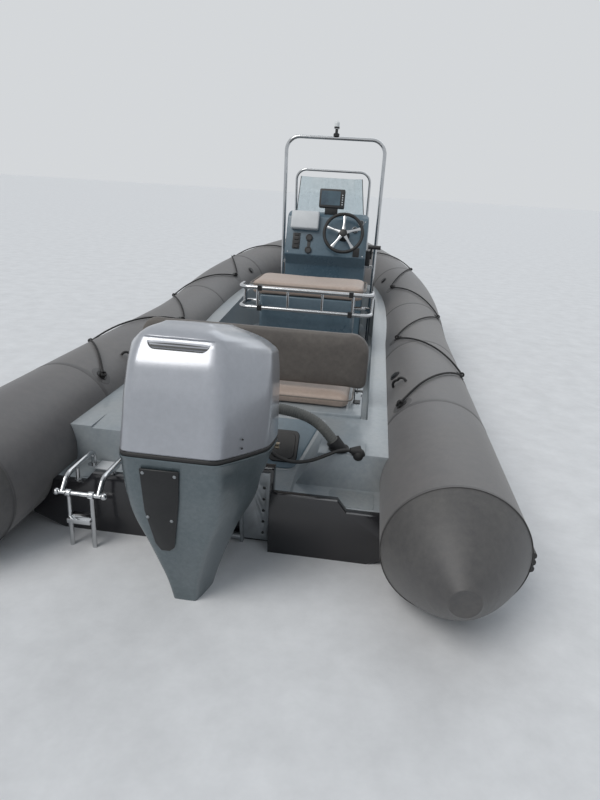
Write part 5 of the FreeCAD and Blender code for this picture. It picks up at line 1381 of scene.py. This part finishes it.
    def wheel(self) -> None:
        """Wheel with a padded rim, five bright spokes and a black hub."""
        hub = self.on_dash(*self.wheel_spot, self.wheel_lift)
        rings = []
        for turn in turns(96):
            out = OUT * cos(turn) + self.climb * sin(turn)
            grip = self.rim * (1.0 + self.grip_swell * cos(self.grips * turn))
            rings.append(circle(hub + out * self.rim_radius, out, self.way, grip, 16))
        rim = piece_of("wheel_rim", *loft(rings + [rings[0]], ends=False), RUBBER, 60)
        spokes = []
        for spoke in range(self.spokes):
            turn = radians(90 + 360 / self.spokes * spoke)
            out = OUT * cos(turn) + self.climb * sin(turn)
            side = self.way.cross(out)
            sections = []
            for share in self.spoke_shares:
                reach = self.hub_radius + (self.rim_radius - 0.008 - self.hub_radius) * share
                wide = self.spoke_half - self.spoke_waist * sin(pi * share)
                centre = hub + out * reach + self.way * (self.spoke_lift - self.spoke_dish * share)
                sections.append(circle(centre, side * wide, self.way * self.spoke_thick, 1.0, 12))
            spokes.append(loft(sections))
        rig.replaces(rim, "steering_wheel")
        for piece in (rim, piece_of("wheel_spokes", *merged(spokes), STEEL, 60)):
            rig.ride(piece, "helm_wheel")
        self.disc("wheel_hub", *self.wheel_spot, self.hub, PLASTIC, "helm_wheel")

    def lamp(self) -> None:
        """Black collar on the all-round light."""
        foot = Vector(self.light_foot)
        rings = [circle(foot + UP * height, OUT, AHEAD, radius, 32) for radius, height in self.light_base]
        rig.ride(piece_of("light_base", *loft(rings), PLASTIC, 35), "boat")


@dataclass
class GrabLines:
    """The rope along each tube, through its eyelets, with a knot at its ends."""

    eyelets = ((0.690, 132), (1.350, 40), (2.090, 132), (3.000, 40), (3.780, 132), (4.560, 40), (5.200, 132))
    steps: int = 5
    radius: float = 0.006
    reach: float = 0.285
    lay: float = 0.045
    knot_size: float = 0.017
    knot_radius: float = 0.0058

    def route(self) -> list[Vector]:
        """Control points of the starboard line, as in the part's source."""
        points = []
        for (run, angle), (next_run, next_angle) in zip(self.eyelets, self.eyelets[1:]):
            for step in range(self.steps):
                share = step / self.steps
                points.append(LINE.at(
                    run + (next_run - run) * share, angle + (next_angle - angle) * share, self.reach))
        points.append(LINE.at(*self.eyelets[-1], self.reach))
        return points

    def strands(self, run: float, angle: float) -> float:
        """Radius of a three-strand rope at a length and an angle."""
        return self.radius * (0.86 + 0.14 * abs(cos(1.5 * (angle - run * 2 * pi / self.lay))))

    def knot(self, centre: Vector, way: Vector, up: Vector) -> list[Vector]:
        """Points of an overhand knot round a line."""
        side = way.cross(up).normalized()
        return [centre + (way * 0.44 * sin(3 * t) + side * 0.42 * (cos(t) + 0.7 * cos(2 * t))
                          + up * 0.42 * (sin(t) - 0.7 * sin(2 * t))) * self.knot_size
                for t in (2 * pi * step / 60 for step in range(61))]

    def build(self) -> None:
        """Build and dress both lines."""
        for name, flip in (("grab_line_starboard", False), ("grab_line_port", True)):
            path = nurbs_route(name + "_route", [tuple(p) for p in mirrored(self.route(), flip)], 0.010)
            line = piece_of(name + "_rope", *swept(path, self.strands, 12), ROPE, 60)
            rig.replaces(line, name)
            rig.ride(line, "boat")
            knots = []
            for index, (end, inner, eyelet) in enumerate(((path[0], path[1], self.eyelets[0]),
                                                          (path[-1], path[-2], self.eyelets[-1]))):
                lift = (end - mirrored([LINE.frame(eyelet[0])[0]], flip)[0]).normalized()
                way = (end - inner).normalized()
                knot = swept(self.knot(end + way * 0.016, way, lift), self.knot_radius, 10)
                knots.append(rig.ride(piece_of(f"{name}_knot_{index}", *knot, ROPE, 60), "boat"))
            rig.cord(line, exit=path[0], length=length_of(path), diameter=2 * self.radius, far_end="object",
                    stiffness="limp", lay="taut", path=path, with_pieces=knots)


@dataclass
class Rigging:
    """The ribbed conduit and the steering lines between the boat and its engine."""

    hose_radius: float = 0.025
    cable_radius: float = 0.009
    flange: Row = (0.512, 0.270, 0.40346)
    collar_way: Row = (-0.62, -0.05, 0.78)
    boot: Row = (0.602, 0.236, 0.40162)
    boot_way: Row = (-0.92, -0.28, 0.12)
    elbow: Row = (0.136, 0.090, 0.470)
    elbow_way: Row = (0.80, 0.45, -0.40)
    collar_length: float = 0.046
    hose_lead: float = 0.042
    rib: float = 0.0104
    rib_share: float = 0.045
    cuff_radius: float = 0.0275
    screw_ring: float = 0.038
    flange_thick: float = 0.0125
    boot_height: float = 0.016
    boot_ends: Row = (0.040, 0.084)
    elbow_length: float = 0.038
    elbow_lead: float = 0.050
    hose_middle: tuple[Row, ...] = ((0.421, 0.268, 0.511), (0.378, 0.273, 0.536), (0.325, 0.280, 0.551),
                                    (0.256, 0.290, 0.559), (0.186, 0.296, 0.561), (0.118, 0.294, 0.560),
                                    (0.054, 0.281, 0.558), (-0.006, 0.256, 0.556), (-0.058, 0.219, 0.553),
                                    (-0.100, 0.172, 0.550))
    cable_middle: tuple[Row, ...] = ((0.462, 0.190, 0.402), (0.392, 0.170, 0.374), (0.318, 0.158, 0.366),
                                     (0.254, 0.146, 0.390))

    def build(self) -> None:
        """Build and dress the conduit and the lines."""
        self.conduit()
        self.cables()
        for node, finish in (("hose_flange", PLASTIC), ("hose_boot", RUBBER), ("cable_boot", RUBBER)):
            paint_node(node, finish)

    def conduit(self) -> None:
        """Ribbed conduit in two lengths, joined by a cuff that moves with the swivel bracket."""
        way = Vector(self.collar_way).normalized()
        start = Vector(self.flange) + Vector((0, 0, 0.004)) + way * self.collar_length
        control = [tuple(start), tuple(start + way * self.hose_lead), *self.hose_middle]
        path = nurbs_route("conduit_route", control, 0.0026)
        cut = len(path) // 2
        parts = []
        for name, line, pair in (("conduit_boat", path[:cut + 1], ("boat", "swivel_bracket")),
                                 ("conduit_engine", path[cut:], ("swivel_bracket", "outboard"))):
            made = piece_of(name, *swept(line, lambda run, _: self.hose_radius * (
                1 - self.rib_share * (1 - cos(run * 2 * pi / self.rib))), 28), HOSE, 60)
            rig.replaces(made, "rigging_hose")
            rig.blend(made, *pair, start=line[0], end=line[-1])
            parts.append((made, line))
        along = frames_along(path)[cut][0]
        cuff_line = [path[cut] + along * (0.004 * step) for step in range(-4, 5)]
        cuff = piece_of("conduit_cuff", *swept(cuff_line, self.cuff_radius, 28), RUBBER, 40)
        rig.ride(cuff, "swivel_bracket")
        for index, (made, line) in enumerate(parts):
            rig.cord(made, exit=line[0], length=length_of(line), diameter=2 * self.hose_radius,
                    far_end="object", stiffness="stiff", lay="loose", path=line,
                    with_pieces=[cuff] if index == 0 else [])
        top = Vector(self.flange) + UP * self.flange_thick
        screws = [(top + Vector((cos(turn), sin(turn), 0)) * self.screw_ring, UP)
                  for turn in (radians(60 * index + 30) for index in range(6))]
        repeated("flange_screws", Repeat.SCREW, STEEL, screws, "boat", Radius=0.005, Depth=0.003)

    def cables(self) -> None:
        """Steering lines from their boot to the cylinder's elbow."""
        way = Vector(self.boot_way).normalized()
        boot = Vector(self.boot) + Vector((0, 0, self.boot_height))
        elbow_way = Vector(self.elbow_way).normalized()
        end = Vector(self.elbow) + elbow_way * self.elbow_length
        control = [*(boot + way * reach for reach in self.boot_ends), *self.cable_middle,
                   end + elbow_way * self.elbow_lead, end]
        path = nurbs_route("steering_route", [tuple(p) for p in control], 0.005)
        lines = piece_of("steering_line_pair", *swept(
            path, lambda _, angle: self.cable_radius * (0.72 + 0.28 * abs(cos(angle))), 20), RUBBER, 60)
        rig.replaces(lines, "steering_lines")
        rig.blend(lines, "boat", "swivel_bracket", start=path[0], end=path[-1])
        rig.cord(lines, exit=path[0], length=length_of(path), diameter=2 * self.cable_radius, far_end="object",
                stiffness="stiff", lay="loose", path=path)


def section_at(rows: Sequence[Row], height: float, spread: float) -> Row:
    """A section between rows that are listed upwards, with the bends from row to row spread out.

    Args:
        rows: The rows, each with its height first.
        height: Height of the section.
        spread: How far the bends are spread, up and down.

    Returns:
        The section's row.
    """
    def plain(level: float) -> list[float]:
        """The section between the two nearest rows."""
        level = min(max(level, rows[0][0]), rows[-1][0])
        low, high = next(pair for pair in zip(rows, rows[1:]) if level <= pair[1][0])
        share = (level - low[0]) / (high[0] - low[0])
        return [a + (b - a) * share for a, b in zip(low[1:], high[1:])]
    samples = [plain(height + spread * step / 3) for step in range(-3, 4)]
    return (height, *[sum(column) / len(samples) for column in zip(*samples)])


@dataclass
class Outboard:
    """The engine: leaning cover with its intake and hood, seal, lower cowl, leg, propeller and bracket."""

    lean: float = radians(12.5)
    origin: Row = (0.0, -0.530, 0.668)
    tray: float = 0.512
    seal: float = 0.008
    rear_slope: float = 0.2038
    rows: tuple[Row, ...] = (
        (-0.200, 0.089, 0.600, 0.158, 0.256, 0.300, 0.240),
        (0.000, 0.000, 0.610, 0.158, 0.274, 0.300, 0.266),
        (0.200, 0.002, 0.606, 0.153, 0.268, 0.300, 0.258),
        (0.300, 0.016, 0.598, 0.148, 0.262, 0.302, 0.250),
        (0.355, 0.040, 0.588, 0.142, 0.255, 0.304, 0.242),
        (0.394, 0.058, 0.556, 0.132, 0.208, 0.306, 0.186),
        (0.418, 0.092, 0.490, 0.108, 0.140, 0.306, 0.120),
        (0.434, 0.150, 0.400, 0.070, 0.088, 0.290, 0.078),
    )
    apron: tuple[Row, ...] = (
        (0.410, -0.4774, -0.116, 0.146, 0.240, -0.250, 0.126),
        (0.300, -0.4550, -0.116, 0.106, 0.176, -0.252, 0.096),
        (0.100, -0.3960, -0.116, 0.056, 0.104, -0.252, 0.068),
        (-0.020, -0.3680, -0.118, 0.040, 0.072, -0.250, 0.050),
    )
    fullness: float = 0.5
    cover_spread: float = 0.012
    apron_spread: float = 0.045
    bulges: tuple[Row, ...] = ((0, -1 / 3, 0), (1, -1, 0), (1, 0, 0), (0, 1 / 2, 0), (-1, 0, 0), (-1, -1, 0))
    smoothing: tuple[tuple[int, Row], ...] = ((1, (0, 1)), (1, (2, 5)), (9, (3, 4)))
    slot_half: float = 0.104
    slot_low: float = 0.341
    slot_high: float = 0.380
    slot_corner: float = 0.030
    slot_reach: Row = (-0.06, 0.045)
    hood_half: float = 0.124
    hood_start: float = 0.003
    hood_rise: float = 0.006
    hood_top: float = 0.425
    hood_fade: float = 0.040
    hood_rear: float = 0.115
    hood_out: float = 0.011
    crown: tuple[Row, ...] = ((0.93, 0.0003), (0.8, 0.0007), (0.6, 0.0012), (0.3, 0.0016), (0.04, 0.0018))
    lip: tuple[Row, ...] = ((0.0, -0.012), (0.0, 0.001), (0.003, 0.0022), (0.008, 0.0016), (0.012, 0.0))
    tray_rows: tuple[Row, ...] = (
        (0.0, 0.060, 0.157, 0.260, -0.238, 0.246),
        (0.001, 0.056, 0.156, 0.259, -0.240, 0.240),
        (0.004, -0.100, 0.156, 0.258, -0.248, 0.142),
    )
    bead: tuple[Row, ...] = ((-1, -0.012), (-1, -0.0035), (-0.5, -0.001), (0, -0.0002), (0.5, -0.001),
                             (1, -0.0035), (1, -0.012))
    panel_screws: tuple[Row, ...] = ((-0.086, 0.610), (0.021, 0.607), (-0.088, 0.424), (-0.005, 0.417))
    studs: tuple[Row, ...] = ((0.213, 0.115, 0.034), (0.213, 0.115, 0.064))

    def rear_line(self, height: float) -> float:
        """The straight rear edge of the lower cowl."""
        return self.origin[1] + (self.origin[2] - height) * self.rear_slope

    def set_in(self, point: Vector) -> Vector:
        """A point of the cover's leaning frame, in the boat."""
        level, steep = cos(self.lean), sin(self.lean)
        turned = Vector((point.x, point.y * level + point.z * steep, point.z * level - point.y * steep))
        return turned + Vector(self.origin)

    def plan(self, row: Row, grow: float = 0.0, count: int = 14) -> list[Vector]:
        """A level section with rounded rear corners and soft side creases.

        Args:
            row: Height, rear, front, rear half-width, widest half-width, crease station, front half-width.
            grow: How far the section is grown.
            count: Points on each of its six sides.

        Returns:
            The closed ring.
        """
        height, rear, front, rear_half, wide_half, crease, front_half = row
        rear, front = rear - grow, front + grow
        rear_half, wide_half, front_half = rear_half + grow, wide_half + grow, front_half + grow
        bow = 0.018 * (front - rear) * self.fullness
        corners = [Vector((x, y, 0)) for x, y in (
            (-rear_half, rear), (rear_half, rear), (wide_half, crease),
            (front_half, front), (-front_half, front), (-wide_half, crease))]
        ring = []
        for first, last, bulge in zip(corners, corners[1:] + corners[:1], self.bulges):
            ring += arc_through(first, (first + last) / 2 + Vector(bulge) * bow, last, count)[:-1]
        for passes, numbers in self.smoothing:
            for _ in range(passes):
                old = [p.copy() for p in ring]
                for corner, offset in ((corner, offset) for corner in numbers for offset in range(-2, 3)):
                    index = (corner * count + offset) % len(ring)
                    near = (old[index - 1] + old[(index + 1) % len(ring)]) / 2
                    ring[index] = old[index].lerp(near, 0.5 * (1 - abs(offset) / 3))
        for point in ring:
            point.z = height
        return ring

    def cover_ring(self, height: float, grow: float = 0.0) -> list[Vector]:
        """A ring of the leaning cover, in the boat."""
        row = section_at(self.rows, height, self.cover_spread)
        return [self.set_in(self.hood(p)) for p in self.plan(row, grow)]

    def hood(self, point: Vector) -> Vector:
        """Stand the rear face out over the intake, as a rounded hood."""
        side = max(0.0, 1 - (abs(point.x) / self.hood_half) ** 6)
        low = min(1.0, max(0.0, (point.z - self.slot_high + self.hood_start) / self.hood_rise))
        high = min(1.0, max(0.0, (self.hood_top - point.z) / self.hood_fade)) ** 0.6
        rear = 1.0 if point.y < self.hood_rear else 0.0
        return point + Vector((0, -self.hood_out * side * low * high * rear, 0))

    def cover(self) -> Piece:
        """The upper cowl, with its intake slot cut out."""
        heights = [self.seal, self.seal + 0.004] + [0.02 + 0.02 * i for i in range(16)]
        heights += [0.332 + 0.003 * i for i in range(35)]
        rings = [self.cover_ring(height, 0.0 if index else -0.003) for index, height in enumerate(heights)]
        top = self.plan(section_at(self.rows, self.rows[-1][0], self.cover_spread))
        centre = sum(top, Vector()) / len(top)
        for share, rise in self.crown:
            rings.append([self.set_in(centre + (p - centre) * share + UP * rise) for p in top])
        shell = piece_of("upper_cowl_shell", *loft(rings), COWL, 40)
        cutter = piece_of("slot_block", *loft([
            [self.set_in(Vector((x, y, z))) for x, z in self.slot_ring()] for y in self.slot_reach]), PLASTIC)
        cut = shell.modifiers.new("slot", "BOOLEAN")
        cut.operation = "DIFFERENCE"
        cut.solver = "EXACT"
        cut.object = cutter
        rounded(shell, 0.0028, 3, 55)
        baked(shell)
        bpy.data.objects.remove(cutter)
        dress(shell, COWL, 35)
        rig.replaces(shell, "upper_cowl")
        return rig.ride(shell, "outboard")

    def slot_ring(self) -> list[Pair]:
        """Outline of the intake slot: nearly straight above, with large rounded lower corners."""
        half, low, high, corner = self.slot_half, self.slot_low, self.slot_high, self.slot_corner
        ring = [(-half, high), (-half, low + corner)]
        for middle, start in ((-half + corner, 180), (half - corner, 270)):
            for turn in (radians(start + 10 * step) for step in range(1, 10)):
                ring.append((middle + corner * cos(turn), low + corner + corner * sin(turn)))
        ring += [(half, high)]
        for share in (step / 12 for step in range(1, 12)):
            ring.append((half - 2 * half * share, high + 0.004 * sin(pi * share)))
        return ring

    def lower(self) -> Piece:
        """The lower cowl: a lip under the seal, the tray, and the tapering apron."""
        rings = [self.cover_ring(-self.seal - drop, grow) for drop, grow in self.lip]
        last = rings[-1]
        rear = self.rear_line(self.tray)
        wide, edge, throat = [(self.tray - drop, rear, *row) for drop, *row in self.tray_rows]
        for share in (0.33, 0.67, 0.97):
            rings.append([a.lerp(b, share) for a, b in zip(last, self.plan(wide))])
        rings.append(self.plan(edge))
        steps = (throat, *self.apron)
        for low, high in zip(steps, steps[1:]):
            count = max(2, round((low[0] - high[0]) / 0.016))
            for step in range(count):
                share = step / count
                height = low[0] + (high[0] - low[0]) * share
                spread = min(self.apron_spread, steps[0][0] - height, height - steps[-1][0])
                rings.append(self.plan(section_at(steps[::-1], height, spread)))
        rings.append(self.plan(steps[-1]))
        shell = piece_of("lower_cowl_shell", *loft(rings), LEG, 40)
        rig.replaces(shell, "lower_cowl")
        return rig.ride(shell, "outboard")

    def seal_strip(self) -> Piece:
        """Rubber seal between the cowls."""
        section = section_at(self.rows, 0.0, self.cover_spread)[1:]
        rings = [[self.set_in(p) for p in self.plan((self.seal * share, *section), grow)]
                 for share, grow in self.bead]
        strip = piece_of("seal_strip", *loft(rings + [rings[0]], ends=False), RUBBER, 60)
        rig.replaces(strip, "cowl_seal")
        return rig.ride(strip, "outboard")

    def build(self) -> None:
        """Build and dress the engine."""
        self.cover()
        self.lower()
        self.seal_strip()
        self.grille()
        for node, body, finish, width in (
                ("service_panel", "outboard", DARK_PLASTIC, 0.003), ("gearcase", "outboard", LEG, 0.003),
                ("clamp_bracket", "boat", CASTING, 0.002),
                ("swivel_bracket", "swivel_bracket", CASTING, 0.003),
                ("boarding_ladder", "ladder", STEEL, 0.002)):
            softened(node, body, finish, width)
        for node, finish in (("air_intake", PLASTIC), ("powerhead", BLOCK), ("propeller", PROP),
                             ("steering_cylinder", BRASS_STEEL), ("ladder_rails", STEEL)):
            paint_node(node, finish)
        self.fasteners()

    def grille(self) -> None:
        """Dark slats inside the intake."""
        points = [(self.set_in(Vector((0, 0.066 + 0.004 * step, self.slot_low + 0.007 + 0.008 * step))),
                   Vector((0, 0.3, 1))) for step in range(4)]
        repeated("intake_slats", Repeat.BAR, DARK_PLASTIC, points, "outboard",
                 Radius=0.014, Depth=0.0022, Length=0.195)

    def fasteners(self) -> None:
        """Screws of the service panel and two studs on the cover's side."""
        way = Vector((0, -1, -self.rear_slope)).normalized()
        screws = [(Vector((x, self.rear_line(z), z)) + way * 0.0115, way) for x, z in self.panel_screws]
        repeated("panel_screws", Repeat.SCREW, CASTING, screws, "outboard", Radius=0.0062, Depth=0.003)
        side = Vector((0.93, -0.36, 0)).normalized()
        studs = [(self.set_in(Vector(place)), side) for place in self.studs]
        repeated("cover_studs", Repeat.SCREW, PLASTIC, studs, "outboard", Radius=0.0045, Depth=0.004)


@dataclass
class Fittings:
    """Small fittings at the stern: latches beside the backrest, tube handles, a plate on the platform."""

    handle: tuple[Row, ...] = ((0.768, 1.064, 0.462), (0.762, 1.060, 0.486), (0.785, 1.046, 0.514),
                               (0.812, 1.032, 0.533), (0.829, 1.022, 0.520))
    plate_low: Row = (-0.585, 0.125, 0.2385)
    plate_high: Row = (-0.505, 0.205, 0.2455)

    def build(self) -> None:
        """Build the fittings."""
        low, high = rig.box("backrest_hinge_stands")
        middle = (low.y + high.y) / 2
        latches = [(Vector((x, middle, low.z + 0.045)), OUT * way)
                   for x, way in ((high.x + 0.001, 1.0), (low.x - 0.001, -1.0))]
        repeated("backrest_latches", Repeat.SCREW, STEEL, latches, "boat", Radius=0.014, Depth=0.006)
        for name, flip in (("tube_handle_starboard", False), ("tube_handle_port", True)):
            a, b, c, d, e = mirrored([Vector(p) for p in self.handle], flip)
            path = arc_through(a, b, c, 8)[:-1] + arc_through(c, d, e, 8)
            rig.ride(piece_of(name, *swept(path, 0.0075, 12), RUBBER, 60), "boat")
        low, high = Vector(self.plate_low), Vector(self.plate_high)
        rings = [[Vector((x, y, z)) for x, y in rectangle(low.x, low.y, high.x, high.y)]
                 for z in (low.z, high.z)]
        plate_piece = piece_of("platform_plate", *loft(rings), WHITE, 40)
        rounded(plate_piece, 0.0025, 3)
        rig.ride(dress(baked(plate_piece), WHITE, 40), "boat")


@dataclass
class Stage:
    """Pale floor at the waterline, soft lights and the camera."""

    place: Row = (0.588, -2.15, 1.50)
    right: Row = (0.9896, 0.1294, 0.058)
    down: Row = (0.099, -0.3308, -0.9386)
    lens: float = 17.55
    sensor: float = 24
    room: Row = (0.86, 0.93, 1.0, 1)
    room_light: float = 0.42
    background: Row = (0.66, 0.68, 0.70, 1)
    floor_corners: tuple[tuple[int, int], ...] = ((-150, -60), (150, -60), (150, 300), (-150, 300))

    def build(self) -> None:
        """Build the stage."""
        scene = bpy.context.scene
        scene.view_settings.view_transform = "Standard"
        finish = Finish("pale_floor", "", (228, 229, 231), (227, 228, 230), Pattern.MOULDED, 0.85, 0.04,
                        grain=2, depth=0.00001, stain=0.3)
        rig.stage(piece_of("floor", [Vector((x, y, 0)) for x, y in self.floor_corners], [[0, 1, 2, 3]], finish,
                          turn=False))
        world = bpy.data.worlds.new("pale_room")
        scene.world = world
        world.use_nodes = True
        tree = world.node_tree
        room = feed(tree.nodes["Background"], {"Color": self.room, "Strength": self.room_light})
        seen = add_node(tree, "ShaderNodeBackground", {"Color": self.background, "Strength": 1.0})
        path = add_node(tree, "ShaderNodeLightPath").outputs
        shown = path["Is Camera Ray"]
        for ray in ("Is Glossy Ray", "Is Transmission Ray"):
            shown = add_node(tree, "ShaderNodeMath", {0: shown, 1: path[ray]}, operation="MAXIMUM").outputs[0]
        mix = add_node(tree, "ShaderNodeMixShader", {0: shown, 1: room.outputs[0], 2: seen.outputs[0]})
        feed(tree.nodes["World Output"], {"Surface": mix.outputs[0]})
        self.sun("key_sun", (-5.0, -6.0, 9.0), 34, 1.35, (1.0, 0.975, 0.94))
        self.sun("bow_sun", (2.5, 9.0, 8.0), 50, 0.45, (0.93, 0.97, 1.0))
        self.camera()

    def sun(self, name: str, place: Row, spread: float, power: float, colour: Row) -> None:
        """A wide soft sun that shines from a direction.

        Args:
            name: Name of the light.
            place: A point that the light comes from, seen from the origin.
            spread: Its width in degrees.
            power: Its strength.
            colour: Its colour.
        """
        data = bpy.data.lights.new(name, "SUN")
        data.angle = radians(spread)
        data.energy = power
        data.color = colour
        link(name, data).rotation_euler = Vector(place).to_track_quat("Z", "Y").to_euler()

    def camera(self) -> None:
        """The camera, at the photograph's place and angle."""
        data = bpy.data.cameras.new("camera")
        data.sensor_fit = "VERTICAL"
        data.sensor_height = self.sensor
        data.lens = self.lens
        data.clip_end = 200
        holder = link("camera", data)
        x = Vector(self.right).normalized()
        y = -Vector(self.down)
        y = (y - x * y.dot(x)).normalized()
        turn = Matrix((x, y, x.cross(y))).transposed()
        holder.matrix_world = Matrix.Translation(Vector(self.place)) @ turn.to_4x4()
        bpy.context.scene.camera = holder


def main() -> None:
    Stage().build()
    for part in (GrabLines(), Rigging(), Outboard(), Tubes(), Hull(), SternBench(), HelmSeat(), Console(),
                 Fittings()):
        part.build()
        log.info("built %s", type(part).__name__)
    with open("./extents.json", "w") as out:
        json.dump({"cad": plain(CAD_BOX), "visual": plain(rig.bounds())}, out)


def plain(box: tuple) -> list[list[float]]:
    """A box's two corners as plain lists of numbers."""
    return [[float(number) for number in corner] for corner in box]


if __name__ == "__main__":
    main()
